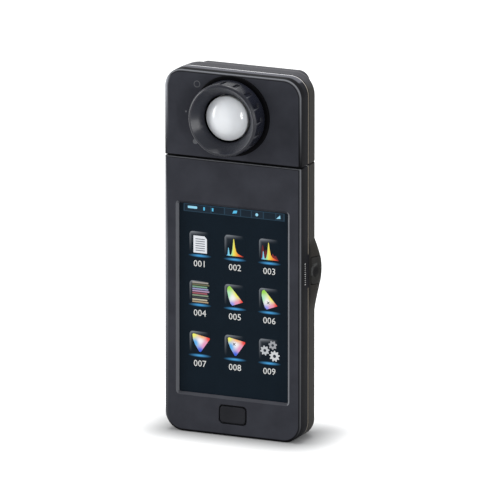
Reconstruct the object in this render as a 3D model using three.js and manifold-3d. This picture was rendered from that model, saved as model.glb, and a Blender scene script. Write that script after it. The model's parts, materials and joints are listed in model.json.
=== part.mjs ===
import * as THREE from 'three';
import { mergeVertices } from 'three/addons/utils/BufferGeometryUtils.js';
import Module from 'manifold-3d';

const wasm = await Module();
wasm.setup();

// A hand-held illuminance meter: a body with a touch screen, and a head that turns on it and holds the receptor.
// Millimetres, X to the right, Y to the back, Z up. The origin is on the base, under the axis of the swivel.
// A depth is always counted from the front face towards the back.

// Driving sizes of the case
const bodyWidth = 73;
const totalHeight = 183;
const cornerRadius = 9.5;
const frontDepth = 9.5;
const frontEdge = 0.8;
const wall = 1.9;
const frontPlate = 1.6;

// Clearances, and how far a cutting solid runs past what it cuts
const headGap = 0.5;
const partingGap = 0.3;
const partingChamfer = 0.25;
const fitGap = 0.3;
const overrun = 1;

// What lies behind the front plate, layer by layer. The depth of the case follows from it and the round cells.
const touchPanel = { overlap: 2.3, thickness: 1.2, radius: 1.5 };
const display = { side: 1.9, low: 1.75, high: 5.75, thickness: 3 };
const displayFrame = { rim: 1.4, back: 1, radius: 1.2 };
const mainBoard = { thickness: 1.2, sideRoom: 0.9, bottom: 4.4, radius: 6, screwHole: 1.5 };
const tray = { wall: 1.2, floor: 0.8, boardRoom: 0.4, between: 0.4, side: 0.4 };
const cell = { radius: 7.1, length: 49.2, nub: 2.75, nubHeight: 1, edge: 0.6, rearRoom: 0.2 };

const panelFront = frontPlate + fitGap;
const displayFront = panelFront + touchPanel.thickness + fitGap;
const displayBack = displayFront + display.thickness;
const frameBack = displayBack + fitGap + displayFrame.back;
const boardFront = frameBack + fitGap;
const boardBack = boardFront + mainBoard.thickness;
const trayFront = boardBack + tray.boardRoom;
const trayFloor = trayFront + tray.floor;
const cellDepth = trayFloor + fitGap + cell.radius;
const bodyDepth = cellDepth + cell.radius + cell.rearRoom + wall;

// The curve from the flat side to the raised deck, which starts and ends at these distances from the back
const shoulder = { start: 11, end: 4.5, sideInset: 6.8, topInset: 2.85, deckRadius: 6, deckEdge: 1 };
const shoulderStart = bodyDepth - shoulder.start;
const shoulderEnd = bodyDepth - shoulder.end;

// The receptor on the head, from its dome outwards. The height of the head follows from it.
const dome = { radius: 11.1, skirtTop: 6.5, rise: 4.6, flangeThickness: 1.2, steps: 4 };
const retainer = { thickness: 0.8, height: 2 };
const collar = {
  tube: 0.8,
  slotWall: 0.5,
  bodyWall: 0.6,
  brim: 3.3,
  proud: 1.7,
  floor: 1.5,
  tubeTop: 6,
  aperture: 2.6,
  apertureOffset: 5.5,
};
const receptor = { aboveRim: 0.7, belowRim: 3.1, proud: 13 };
const shutter = { legRadius: 0.9, rim: 1.1, thickness: 0.8, window: 3 };

const tubeInner = dome.radius + fitGap + retainer.thickness + fitGap;
const tubeOuter = tubeInner + collar.tube;
const legCircle = tubeOuter + collar.slotWall + fitGap + shutter.legRadius;
const collarBody = legCircle + shutter.legRadius + fitGap + collar.bodyWall;
const collarRim = collarBody + collar.brim;
const headHeight = receptor.aboveRim + 2 * collarRim + receptor.belowRim;
const receptorHeight = receptor.belowRim + collarRim;

// The lip of the front shells that closes the parting line from inside
const lip = { outset: 0.9, length: 1, thickness: 0.9 };

const halfWidth = bodyWidth / 2;
const splitHeight = totalHeight - headHeight;
const bodyTop = splitHeight - headGap / 2;
const rearStart = frontDepth + partingGap;
const sideInner = halfWidth - wall;
const deckHalfWidth = halfWidth - shoulder.sideInset;

// Steps of the round forms
const cornerSteps = 6;
const innerCornerSteps = 3;
const splitCornerSteps = 1;
const edgeSteps = 2;
const shoulderSteps = 4;
const holeSides = 18;
const smallSides = 8;
const splitCornerRadius = 0.5;
const mergeTolerance = 1e-4;

const fromFace = (depth) => depth - bodyDepth / 2;

// Colours and finishes
const finish = (color, roughness, metalness = 0) => new THREE.MeshStandardMaterial({ color, roughness, metalness });
const materials = {
  casing: finish(0x35373b, 0.5),
  rearCasing: finish(0x34332f, 0.6),
  ring: finish(0x18191b, 0.45),
  key: finish(0x2c2d30, 0.5),
  diffuser: finish(0xeceef2, 0.4),
  glass: finish(0x0e141a, 0.12),
  board: finish(0x1d5a38, 0.6),
  steel: finish(0xb6b9bd, 0.35, 1),
  brass: finish(0xb89a58, 0.35, 1),
  aluminium: finish(0x8f9398, 0.45, 1),
  innerPlastic: finish(0x1f2022, 0.7),
  rubber: finish(0x222325, 0.85),
  cell: finish(0x3f6f9c, 0.4),
};

// Solids

function signedVolume(position, corners) {
  const [a, b, c] = [new THREE.Vector3(), new THREE.Vector3(), new THREE.Vector3()];
  let sum = 0;
  for (let i = 0; i < corners.length; i += 3) {
    a.fromBufferAttribute(position, corners[i]);
    b.fromBufferAttribute(position, corners[i + 1]);
    c.fromBufferAttribute(position, corners[i + 2]);
    sum += a.dot(b.cross(c));
  }
  return sum;
}

// A closed geometry as a solid whose faces point out.
function solid(geometry) {
  const bare = geometry.clone();
  bare.deleteAttribute('normal');
  bare.deleteAttribute('uv');
  const merged = mergeVertices(bare, mergeTolerance);
  const corners = [];
  for (let i = 0; i < merged.index.count; i += 3) {
    const face = [0, 1, 2].map((k) => merged.index.getX(i + k));
    if (new Set(face).size === face.length) corners.push(...face);
  }
  const position = merged.getAttribute('position');
  const triVerts = Uint32Array.from(signedVolume(position, corners) < 0 ? corners.reverse() : corners);
  return new wasm.Manifold(
    new wasm.Mesh({ numProp: 3, vertProperties: Float32Array.from(position.array), triVerts }),
  );
}

const add = (...solids) => solids.reduce((whole, next) => whole.add(next));
const cut = (base, ...tools) => tools.reduce((left, tool) => left.subtract(tool), base);

function geometryOf(shape) {
  const { vertProperties, triVerts } = shape.getMesh();
  const geometry = new THREE.BufferGeometry();
  geometry.setAttribute('position', new THREE.BufferAttribute(Float32Array.from(vertProperties), 3));
  geometry.setIndex(new THREE.BufferAttribute(Uint32Array.from(triVerts), 1));
  geometry.computeVertexNormals();
  return geometry;
}

// Bases that turn a shape drawn in XY and extruded along Z: along turns the extrusion to that axis.
const unitX = new THREE.Vector3(1, 0, 0);
const unitY = new THREE.Vector3(0, 1, 0);
const unitZ = new THREE.Vector3(0, 0, 1);
const along = {
  x: new THREE.Matrix4().makeBasis(unitY, unitZ, unitX),
  y: new THREE.Matrix4().makeBasis(unitX, unitZ, unitY.clone().negate()),
  z: new THREE.Matrix4(),
};

const box = (x0, x1, y0, y1, z0, z1) => {
  const geometry = new THREE.BoxGeometry(x1 - x0, y1 - y0, z1 - z0);
  return solid(geometry.translate((x0 + x1) / 2, (y0 + y1) / 2, (z0 + z1) / 2));
};

function roundedRectangle(width, height, radius) {
  const [w, h] = [width / 2 - radius, height / 2 - radius];
  const shape = new THREE.Shape();
  shape.absarc(w, -h, radius, -Math.PI / 2, 0);
  shape.absarc(w, h, radius, 0, Math.PI / 2);
  shape.absarc(-w, h, radius, Math.PI / 2, Math.PI);
  shape.absarc(-w, -h, radius, Math.PI, 1.5 * Math.PI);
  return shape;
}

// A flat shape drawn in XZ, from one depth to another, around (x, z).
function slabY(shape, fromDepth, toDepth, x, z, curveSegments = innerCornerSteps) {
  const geometry = new THREE.ExtrudeGeometry(shape, {
    depth: toDepth - fromDepth,
    bevelEnabled: false,
    curveSegments,
  });
  return solid(geometry.applyMatrix4(along.y).translate(x, fromFace(toDepth), z));
}

// A flat shape drawn in YZ, from one X to another, around (depth, z).
function slabX(shape, fromX, toX, depth, z, curveSegments = innerCornerSteps) {
  const geometry = new THREE.ExtrudeGeometry(shape, { depth: toX - fromX, bevelEnabled: false, curveSegments });
  return solid(geometry.applyMatrix4(along.x).translate(fromX, fromFace(depth), z));
}

function rodY(radius, fromDepth, toDepth, x, z, sides = holeSides) {
  const geometry = new THREE.CylinderGeometry(radius, radius, toDepth - fromDepth, sides);
  return solid(geometry.translate(x, fromFace((fromDepth + toDepth) / 2), z));
}

function rodX(radius, fromX, toX, depth, z, sides = holeSides) {
  const geometry = new THREE.CylinderGeometry(radius, radius, toX - fromX, sides);
  return solid(geometry.rotateZ(Math.PI / 2).translate((fromX + toX) / 2, fromFace(depth), z));
}

function rodZ(radius, fromZ, toZ, x, depth, sides = holeSides) {
  const geometry = new THREE.CylinderGeometry(radius, radius, toZ - fromZ, sides);
  return solid(geometry.rotateX(Math.PI / 2).translate(x, fromFace(depth), (fromZ + toZ) / 2));
}

// A profile of [radius, height] pairs turned about the Y axis, with height measured out of the front face.
function turned(profile, sides) {
  return solid(new THREE.LatheGeometry(profile.map(([r, height]) => new THREE.Vector2(r, -height)), sides));
}

// A solid through rings of points that all have the same count; flat gives a point's place in a ring's plane.
function loft(rings, flat) {
  const count = rings[0].length;
  const faces = [];
  for (let r = 0; r + 1 < rings.length; r += 1) {
    for (let i = 0; i < count; i += 1) {
      const j = (i + 1) % count;
      const [a, b] = [r * count + i, r * count + j];
      faces.push(a, b, b + count, a, b + count, a + count);
    }
  }
  const last = (rings.length - 1) * count;
  for (const [a, b, c] of THREE.ShapeUtils.triangulateShape(rings[0].map(flat), [])) faces.push(a, c, b);
  for (const [a, b, c] of THREE.ShapeUtils.triangulateShape(rings.at(-1).map(flat), [])) {
    faces.push(last + a, last + b, last + c);
  }
  const geometry = new THREE.BufferGeometry().setFromPoints(rings.flat());
  return solid(geometry.setIndex(faces));
}

const flatXZ = (p) => new THREE.Vector2(p.x, p.z);
const flatXY = (p) => new THREE.Vector2(p.x, p.y);

// The outline of a block at one depth, anticlockwise seen from the front.
function outlineRing({ halfWidth: half, bottom, top, lowRadius, highRadius, lowSteps, highSteps }, depth) {
  const points = [];
  const corner = (x, z, radius, start, steps) => {
    for (let i = 0; i <= steps; i += 1) {
      const angle = start + (Math.PI / 2) * (i / steps);
      points.push(
        new THREE.Vector3(x + radius * Math.cos(angle), fromFace(depth), z + radius * Math.sin(angle)),
      );
    }
  };
  corner(half - lowRadius, bottom + lowRadius, lowRadius, -Math.PI / 2, lowSteps);
  corner(half - highRadius, top - highRadius, highRadius, 0, highSteps);
  corner(-half + highRadius, top - highRadius, highRadius, Math.PI / 2, highSteps);
  corner(-half + lowRadius, bottom + lowRadius, lowRadius, Math.PI, lowSteps);
  return points;
}

// The case: the body and the head share one section and differ in which end is rounded.
const bodyCase = { bottom: 0, top: bodyTop, isHead: false };
const headCase = { bottom: headGap / 2, top: headHeight, isHead: true };

// How far a depth lies along the shoulder, and how much of the shoulder's inset is drawn in there.
const shoulderShare = (depth) =>
  Math.min(Math.max((depth - shoulderStart) / (shoulderEnd - shoulderStart), 0), 1);
const drawnShare = (depth) => shoulderShare(depth) ** 2;

const roundOver = (radius, into) => radius - Math.sqrt(Math.max(radius ** 2 - into ** 2, 0));

// How far the rounded edges at the front and at the deck have drawn in at a depth.
function edgeInset(depth) {
  if (depth < frontEdge) return roundOver(frontEdge, frontEdge - depth);
  const deckStart = bodyDepth - shoulder.deckEdge;
  return depth > deckStart ? roundOver(shoulder.deckEdge, depth - deckStart) : 0;
}

// Half the width of the case at a depth, without its rounded edges.
const halfWidthAt = (depth) => halfWidth - shoulder.sideInset * drawnShare(depth);

// The section of a case at a depth, or of the form that lies an offset inside it. Along the shoulder the inner
// form moves forwards too, until it lies the offset below the deck.
function caseRing(block, surface, offset, trim, steps) {
  const drawn = drawnShare(surface);
  const inset = offset > 0 ? offset : trim + edgeInset(surface);
  const radius = Math.max(
    cornerRadius + (shoulder.deckRadius - cornerRadius) * drawn - inset,
    splitCornerRadius,
  );
  return outlineRing(
    {
      halfWidth: halfWidthAt(surface) - inset,
      bottom: block.bottom + inset,
      top: block.top - inset - (block.isHead ? shoulder.topInset * drawn : 0),
      lowRadius: block.isHead ? splitCornerRadius : radius,
      highRadius: block.isHead ? radius : splitCornerRadius,
      lowSteps: block.isHead ? splitCornerSteps : steps,
      highSteps: block.isHead ? steps : splitCornerSteps,
    },
    surface - offset * shoulderShare(surface),
  );
}

// A form through [depth, trim] stations, an offset inside the case.
const caseForm = (block, stations, offset = 0, steps = cornerSteps) =>
  loft(stations.map(([depth, trim]) => caseRing(block, depth, offset, trim, steps)), flatXZ);

function frontForm(block) {
  const rounding = Array.from({ length: edgeSteps }, (_, k) => {
    const angle = (Math.PI / 2) * (k / edgeSteps);
    return [frontEdge * (1 - Math.cos(angle)), 0];
  });
  return caseForm(block, [
    ...rounding,
    [frontEdge, 0],
    [frontDepth - partingChamfer, 0],
    [frontDepth, partingChamfer],
  ]);
}

// The form behind the parting line. An offset form starts further in front, so that it can hollow the shell.
function rearForm(block, offset = 0) {
  const curve = Array.from({ length: shoulderSteps }, (_, k) => {
    const share = (k + 1) / shoulderSteps;
    return shoulderStart + (shoulderEnd - shoulderStart) * share;
  });
  const deckStart = bodyDepth - shoulder.deckEdge;
  const rounding = Array.from({ length: edgeSteps }, (_, k) => {
    const angle = (Math.PI / 2) * ((k + 1) / edgeSteps);
    return deckStart + shoulder.deckEdge * Math.sin(angle);
  });
  if (offset > 0) {
    const stations = [rearStart - overrun, shoulderStart, ...curve, bodyDepth].map((depth) => [depth, 0]);
    return caseForm(block, stations, offset, innerCornerSteps);
  }
  return caseForm(block, [
    [rearStart, partingChamfer],
    [rearStart + partingChamfer, 0],
    ...[shoulderStart, ...curve, deckStart, ...rounding].map((depth) => [depth, 0]),
  ]);
}

// A straight form an offset inside the case, between two depths in front of the shoulder.
const straightForm = (block, fromDepth, toDepth, offset) =>
  caseForm(block, [[fromDepth, 0], [toDepth, 0]], offset, innerCornerSteps);

// A front shell without its openings: the hollow form and the lip behind the parting line.
function frontShell(block) {
  const lipEnd = frontDepth + lip.length;
  const lipRing = cut(
    straightForm(block, frontDepth - overrun, lipEnd, lip.outset),
    straightForm(block, frontDepth - 2 * overrun, lipEnd + overrun, lip.outset + lip.thickness),
  );
  const hollow = straightForm(block, frontPlate, frontDepth + overrun, wall);
  return add(cut(frontForm(block), hollow), lipRing);
}

// The room behind the parting line that the lip needs.
const lipRoom = (block) =>
  straightForm(block, rearStart - overrun, frontDepth + lip.length + fitGap, lip.outset - fitGap);

// Scene graph
const meter = new THREE.Group();
const headGroup = new THREE.Group();
headGroup.position.z = splitHeight;
meter.add(headGroup);

function piece(name, shape, material, parent = meter, position = [0, 0, 0]) {
  const mesh = new THREE.Mesh(shape.isBufferGeometry ? shape : geometryOf(shape), material);
  mesh.name = name;
  mesh.position.set(...position);
  parent.add(mesh);
}

// Screen: recess, touch panel, display and its frame
const screen = { side: 7.4, bottom: 20.05, belowTop: 23.2, bevel: 1.2, bevelDepth: 1.3, radius: 0.8 };
const screenWidth = bodyWidth - 2 * screen.side;
const screenTop = bodyTop - screen.belowTop;
const screenHeight = screenTop - screen.bottom;
const screenCentre = (screenTop + screen.bottom) / 2;
const displayWidth = screenWidth + 2 * display.side;
const displayHeight = screenHeight + display.low + display.high;
const displayCentre = screenCentre + (display.high - display.low) / 2;

function screenRecess() {
  const ring = (depth, grow) =>
    outlineRing(
      {
        halfWidth: screenWidth / 2 + grow,
        bottom: screen.bottom - grow,
        top: screenTop + grow,
        lowRadius: screen.radius + grow,
        highRadius: screen.radius + grow,
        lowSteps: innerCornerSteps,
        highSteps: innerCornerSteps,
      },
      depth,
    );
  const slope = screen.bevel / screen.bevelDepth;
  const rings = [
    ring(-overrun, screen.bevel + overrun * slope),
    ring(screen.bevelDepth, 0),
    ring(frontPlate + overrun, 0),
  ];
  return loft(rings, flatXZ);
}

function touchPanelSolid() {
  const grow = 2 * touchPanel.overlap;
  const shape = roundedRectangle(screenWidth + grow, screenHeight + grow, touchPanel.radius);
  return slabY(shape, panelFront, panelFront + touchPanel.thickness, 0, screenCentre);
}

const displaySolid = () =>
  slabY(new THREE.Shape(rectanglePoints(displayWidth, displayHeight)), displayFront, displayBack, 0, displayCentre);

function rectanglePoints(width, height) {
  const [w, h] = [width / 2, height / 2];
  return [[-w, -h], [w, -h], [w, h], [-w, h]].map(([x, y]) => new THREE.Vector2(x, y));
}

// A tray that holds the display from behind.
function displayFrameSolid() {
  const grow = 2 * (fitGap + displayFrame.rim);
  const outer = roundedRectangle(displayWidth + grow, displayHeight + grow, displayFrame.radius);
  const room = new THREE.Shape(rectanglePoints(displayWidth + 2 * fitGap, displayHeight + 2 * fitGap));
  return cut(
    slabY(outer, displayFront, frameBack, 0, displayCentre),
    slabY(room, displayFront - overrun, displayBack + fitGap, 0, displayCentre),
  );
}

// Main board, its shield can and the plug of the head's cable
const shieldCan = { sideRoom: 5.6, aboveTray: 10, belowPlug: 6, thickness: 2.6, radius: 1, steps: 2 };
const cablePlug = { width: 7, height: 6, thickness: 3.4, below: 12 };

// Swivel: a hollow spigot of the head turns in a flanged bush of the body and is held by a circlip
const swivel = {
  bore: 4.2,
  spigotWall: 3.1,
  bushWall: 1.9,
  bushFlange: 1.4,
  flangeThickness: 1.5,
  bushTail: 2,
  topFlange: 3.2,
  grooveDepth: 1,
  circlipReach: 1.9,
  circlipThickness: 0.9,
  circlipOpening: 5,
  spigotTail: 1.2,
};
const spigotRadius = swivel.bore + swivel.spigotWall;
const bushRadius = spigotRadius + fitGap + swivel.bushWall;
const grooveRadius = spigotRadius - swivel.grooveDepth;
const swivelDepth = bodyDepth / 2;
const bushTop = bodyTop;
const bushFlangeTop = bodyTop - wall - fitGap;
const bushBottom = bushFlangeTop - swivel.flangeThickness - swivel.bushTail;
const circlipTop = bushBottom - fitGap;
const circlipBottom = circlipTop - swivel.circlipThickness;
const grooveBottom = circlipBottom - fitGap;
const spigotBottom = grooveBottom - swivel.spigotTail;
const boardTop = spigotBottom - 2 * fitGap;

// Case screws: one long pan-head screw serves every corner
const screw = { head: 1.9, headHeight: 1.3, shank: 1, tipRoom: 2, postWall: 1.5, counterbore: 2.4, sink: 1.6 };
const screwRows = { bodyBottom: 8, headBottom: 12, headTop: 11 };
const postRadius = screw.shank + fitGap + screw.postWall;
const screwX = deckHalfWidth - wall - screw.counterbore;
const bodyScrewLow = screwRows.bodyBottom;
const bodyScrewHigh = spigotBottom - postRadius;
const headScrewLow = screwRows.headBottom;
const headScrewHigh = headHeight - screwRows.headTop;
const highSeat = bodyDepth - screw.sink - screw.headHeight;
const screwLength = highSeat - frontPlate - screw.tipRoom;

const screwSolid = () =>
  add(
    rodY(screw.head, 0, screw.headHeight, 0, 0, smallSides),
    rodY(screw.shank, screw.headHeight - screwLength, screw.headHeight / 2, 0, 0, smallSides),
  );

// The post that carries a case screw in a front shell, and its pilot hole.
const screwPost = (x, z) => rodY(postRadius, frontPlate / 2, boardFront - fitGap, x, z, smallSides);
const pilotHole = (x, z, seat) =>
  rodY(screw.shank + fitGap, seat - screwLength - overrun, boardFront + overrun, x, z, smallSides);

// The boss of a rear shell round a case screw, its bore and its counterbore.
const screwBoss = (x, z, seat) => rodY(postRadius, boardBack + fitGap, seat + fitGap, x, z, smallSides);
const screwBore = (x, z, seat) =>
  add(
    rodY(screw.shank + fitGap, boardBack - overrun, seat + overrun, x, z, smallSides),
    rodY(screw.counterbore, seat, bodyDepth + overrun, x, z, smallSides),
  );

function mainBoardSolid() {
  const width = 2 * (sideInner - mainBoard.sideRoom);
  const height = boardTop - mainBoard.bottom;
  const centre = (boardTop + mainBoard.bottom) / 2;
  const board = slabY(roundedRectangle(width, height, mainBoard.radius), boardFront, boardBack, 0, centre);
  const plugTop = boardTop - cablePlug.below;
  const plug = box(
    -cablePlug.width / 2,
    cablePlug.width / 2,
    fromFace(boardBack - fitGap),
    fromFace(boardBack + cablePlug.thickness),
    plugTop - cablePlug.height,
    plugTop,
  );
  const holes = [-screwX, screwX].flatMap((x) =>
    [bodyScrewLow, bodyScrewHigh].map((z) =>
      rodY(mainBoard.screwHole, boardFront - overrun, boardBack + overrun, x, z, smallSides),
    ),
  );
  return cut(add(board, plug), ...holes);
}

function shieldCanSolid() {
  const top = boardTop - cablePlug.below - cablePlug.height - shieldCan.belowPlug;
  const bottom = trayTop + shieldCan.aboveTray;
  const width = 2 * (measureBoardFace - keyBoard.thickness - shieldCan.sideRoom);
  const shape = roundedRectangle(width, top - bottom, shieldCan.radius);
  const centre = (bottom + top) / 2;
  return slabY(shape, boardBack + fitGap, boardBack + fitGap + shieldCan.thickness, 0, centre, shieldCan.steps);
}

// Menu button under the screen, and the switch behind it
const menuButton = {
  width: 14.2,
  height: 9,
  radius: 1.8,
  centre: 11,
  proud: 0.2,
  flange: 0.8,
  flangeThickness: 1,
  stem: 2,
  travel: 0.6,
};
const menuSwitch = { width: 6, thickness: 3 };
const menuSwitchFront = boardFront - fitGap - menuSwitch.thickness;

function menuButtonSolid() {
  const { width, height, radius, centre, flange } = menuButton;
  const flangeBack = panelFront + menuButton.flangeThickness;
  return add(
    slabY(roundedRectangle(width, height, radius), -menuButton.proud, panelFront + fitGap, 0, centre),
    slabY(roundedRectangle(width + 2 * flange, height + 2 * flange, radius), panelFront, flangeBack, 0, centre),
    rodY(menuButton.stem, flangeBack - fitGap, menuSwitchFront - menuButton.travel - fitGap, 0, centre, smallSides),
  );
}

const menuWindow = () =>
  slabY(
    roundedRectangle(menuButton.width + 2 * fitGap, menuButton.height + 2 * fitGap, menuButton.radius + fitGap),
    -overrun,
    frontPlate + overrun,
    0,
    menuButton.centre,
  );

const menuSwitchSolid = () =>
  slabY(
    new THREE.Shape(rectanglePoints(menuSwitch.width, menuSwitch.width)),
    menuSwitchFront,
    boardFront - fitGap,
    0,
    menuButton.centre,
  );

// Battery cover, which takes the low part of the back from a distance behind the start of the shoulder
const cover = { thickness: 1.5, belowTrayTop: 6.4, bottom: 2.6, behindShoulder: 1.2, floor: 1.4 };

// Battery bay: two round cells lie side by side in a tray, under a cover that lifts off the back
const contact = { thickness: 0.4, width: 9, spring: 3.2, wire: 0.3, turns: 3, wide: 4.6, narrow: 2.4 };

const coverInset = cover.thickness + fitGap;
const innerInset = coverInset + cover.floor;
const floorInner = bodyDepth - innerInset;
const cellX = tray.between / 2 + cell.radius;
const trayHalf = cellX + cell.radius + tray.side;
const trayBack = floorInner - fitGap;
const trayBottom = innerInset + 2 * fitGap;
const bayBottom = trayBottom + tray.wall;
const plateTop = bayBottom + fitGap + contact.thickness;
const springTop = plateTop + fitGap + contact.spring;
const uprightCellBottom = springTop + fitGap;
const uprightCellTop = uprightCellBottom + cell.length + cell.nubHeight;
const turnedCellBottom = plateTop + fitGap;
const turnedCellTop = turnedCellBottom + cell.length + cell.nubHeight;
const highPlateBottom = uprightCellTop + fitGap;
const bayTop = highPlateBottom + contact.thickness + fitGap;
const trayTop = bayTop + tray.wall;
const coverTop = trayTop - cover.belowTrayTop;

// Swell on the right side that holds the measuring button
const swell = {
  aboveCover: 7.5,
  height: 37.5,
  crest: 4.3,
  rearRoom: 4,
  sink: 0.05,
  leanShare: 1.2,
  fullnessShare: 1.15,
};
const swellBottom = coverTop + swell.aboveCover;
const swellRearEnd = bodyDepth - swell.rearRoom;
const swellSections = 9;
const swellSteps = 7;

// The surface of the swell, an offset inside its real surface: a hump across the depth, fuller towards the top.
function swellForm(offset = 0) {
  const reach = Math.max(offset, 0);
  const base = deckHalfWidth - wall - reach;
  const [start, end] = [rearStart + reach, swellRearEnd - reach];
  const rings = Array.from({ length: swellSections + 1 }, (_, i) => {
    const z = swellBottom + reach + (swell.height - 2 * reach) * (i / swellSections);
    const share = (z - swellBottom) / swell.height;
    const crest = swell.crest * Math.sin(Math.PI * share ** swell.leanShare) ** swell.fullnessShare;
    const hump = Array.from({ length: swellSteps + 1 }, (_, k) => {
      const depth = start + (end - start) * (k / swellSteps);
      const across = Math.sin((Math.PI * (depth - rearStart)) / (swellRearEnd - rearStart));
      return new THREE.Vector3(halfWidthAt(depth) - swell.sink - offset + crest * across, fromFace(depth), z);
    });
    return [new THREE.Vector3(base, fromFace(start), z), ...hump, new THREE.Vector3(base, fromFace(end), z)];
  });
  return loft(rings, flatXY);
}

// Measuring button in the swell, with its board and switch
const measureKey = {
  height: 14.3,
  aboveSwellBottom: 22.3,
  frontRoom: 0.8,
  width: 9,
  radius: 1.2,
  proud: 0.25,
  skin: 2.2,
  stem: 1.5,
  flange: 0.8,
  flangeThickness: 1,
  travel: 1,
};
const dimple = { halfHeight: 3.6, halfWidth: 2.2, sink: 0.7, setBack: 2.7 };
const keyBoard = { thickness: 1.2, margin: 4, depth: 8.2 };
const measureSwitch = { size: 6, thickness: 1.9 };

const keyFront = rearStart + measureKey.frontRoom;
const keyDepth = keyFront + measureKey.width / 2;
const keyCentre = swellBottom + measureKey.aboveSwellBottom;
const keyFlangeOuter = sideInner - fitGap;
const keyFlangeInner = keyFlangeOuter - measureKey.flangeThickness;
const measureSwitchFace = keyFlangeInner - measureKey.travel - fitGap;
const measureBoardFace = measureSwitchFace - measureSwitch.thickness - fitGap;
const daughterFront = boardBack + fitGap;

function keyPrism(shrink, fromX, toX) {
  const shape = roundedRectangle(measureKey.width - 2 * shrink, measureKey.height - 2 * shrink, measureKey.radius);
  return slabX(shape, fromX, toX, keyDepth, keyCentre);
}

function measureButtonSolid() {
  const outerX = halfWidth + swell.crest + overrun;
  const cap = swellForm(-measureKey.proud).intersect(keyPrism(fitGap, keyFlangeInner, outerX));
  const flange = box(
    keyFlangeInner,
    keyFlangeOuter,
    fromFace(keyFront + fitGap),
    fromFace(shoulderStart),
    keyCentre - measureKey.height / 2 - measureKey.flange,
    keyCentre + measureKey.height / 2 + measureKey.flange,
  );
  const room = keyPrism(fitGap + measureKey.skin, keyFlangeInner - overrun, outerX);
  const hollow = swellForm(measureKey.skin).intersect(room);
  const stemRoot = halfWidth + swell.crest - measureKey.skin + fitGap;
  const stem = rodX(measureKey.stem, keyFlangeInner, stemRoot, keyDepth, keyCentre);
  const dimpleDepth = keyFront + dimple.setBack;
  const hump = Math.sin((Math.PI * (dimpleDepth - rearStart)) / (swellRearEnd - rearStart));
  const dish = new THREE.SphereGeometry(1, holeSides, smallSides);
  dish.scale(dimple.sink, dimple.halfWidth, dimple.halfHeight);
  dish.rotateZ(-Math.PI / 6);
  dish.translate(halfWidth + swell.crest * hump + measureKey.proud, fromFace(dimpleDepth), keyCentre);
  return cut(add(cut(add(cap, flange), hollow), stem), solid(dish));
}

const measureSwitchSolid = () =>
  slabX(
    new THREE.Shape(rectanglePoints(measureSwitch.size, measureSwitch.size)),
    measureBoardFace + fitGap,
    measureSwitchFace,
    keyDepth,
    keyCentre,
  );

const measureBoardSolid = () =>
  box(
    measureBoardFace - keyBoard.thickness,
    measureBoardFace,
    fromFace(daughterFront),
    fromFace(daughterFront + keyBoard.depth),
    keyCentre - measureKey.height / 2 - keyBoard.margin,
    keyCentre + measureKey.height / 2 + keyBoard.margin,
  );

// Memory and power buttons on the left side
const sideKey = {
  width: 4,
  height: 11.4,
  proud: 0.4,
  flange: 0.8,
  flangeThickness: 0.9,
  travel: 0.6,
};
const sideRow = { behindParting: 4, powerKey: 15.75, memoryKey: 32.75, terminal: 44.35, socket: 58.25, strap: 73.25 };
const sideDepth = rearStart + sideRow.behindParting;
const powerKeyHeight = bodyTop - sideRow.powerKey;
const memoryKeyHeight = bodyTop - sideRow.memoryKey;
const terminalHeight = bodyTop - sideRow.terminal;
const socketHeight = bodyTop - sideRow.socket;
const strapHeight = bodyTop - sideRow.strap;
const sideSwitch = { size: 4, thickness: 1.5 };
const sideFlangeOuter = -sideInner + fitGap;
const sideFlangeInner = sideFlangeOuter + sideKey.flangeThickness;
const sideSwitchFace = sideFlangeInner + sideKey.travel + fitGap;
const sideBoardFace = sideSwitchFace + sideSwitch.thickness + fitGap;

function sideKeySolid() {
  const pill = roundedRectangle(sideKey.width, sideKey.height, sideKey.width / 2);
  const grow = 2 * sideKey.flange;
  const flange = roundedRectangle(sideKey.width + grow, sideKey.height + grow, sideKey.width / 2);
  return add(
    slabX(pill, -halfWidth - sideKey.proud, sideFlangeOuter + fitGap, sideDepth, 0),
    slabX(flange, sideFlangeOuter, sideFlangeInner, sideDepth, 0),
  );
}

const sideKeyWindow = (z) =>
  slabX(
    roundedRectangle(sideKey.width + 2 * fitGap, sideKey.height + 2 * fitGap, sideKey.width / 2 + fitGap),
    -halfWidth - overrun,
    -sideInner + overrun,
    sideDepth,
    z,
  );

const sideSwitchSolid = () =>
  slabX(
    new THREE.Shape(rectanglePoints(sideSwitch.size, sideSwitch.size)),
    sideSwitchFace,
    sideBoardFace - fitGap,
    sideDepth,
    0,
  );

// Strap pocket on the left side: a steel pin crosses it, and the cord goes in above it and out below it
const strap = {
  height: 12,
  behindParting: 2.2,
  width: 5.4,
  wall: 1.2,
  pin: 1,
  pinInset: 1.9,
  roomBehind: 4.3,
};
const strapPinX = -halfWidth + strap.pinInset;
const strapFloor = strapPinX + strap.pin + strap.roomBehind;
const strapFront = rearStart + strap.behindParting;
const strapBack = strapFront + strap.width;
const strapTop = strapHeight + strap.height / 2;

const strapBlock = () =>
  box(
    -halfWidth,
    strapFloor + strap.wall,
    fromFace(strapFront - strap.wall),
    fromFace(strapBack + strap.wall),
    strapHeight - strap.height / 2 - strap.wall,
    strapTop + strap.wall,
  );

const strapRoom = () =>
  box(
    -halfWidth - overrun,
    strapFloor,
    fromFace(strapFront),
    fromFace(strapBack),
    strapHeight - strap.height / 2,
    strapTop,
  );

const strapPinReach = strap.wall - fitGap;
const strapPinSolid = (clearance) =>
  rodY(
    strap.pin + clearance,
    strapFront - strapPinReach - clearance,
    strapBack + strapPinReach / 2 + clearance,
    strapPinX,
    strapHeight,
    smallSides,
  );

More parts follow.
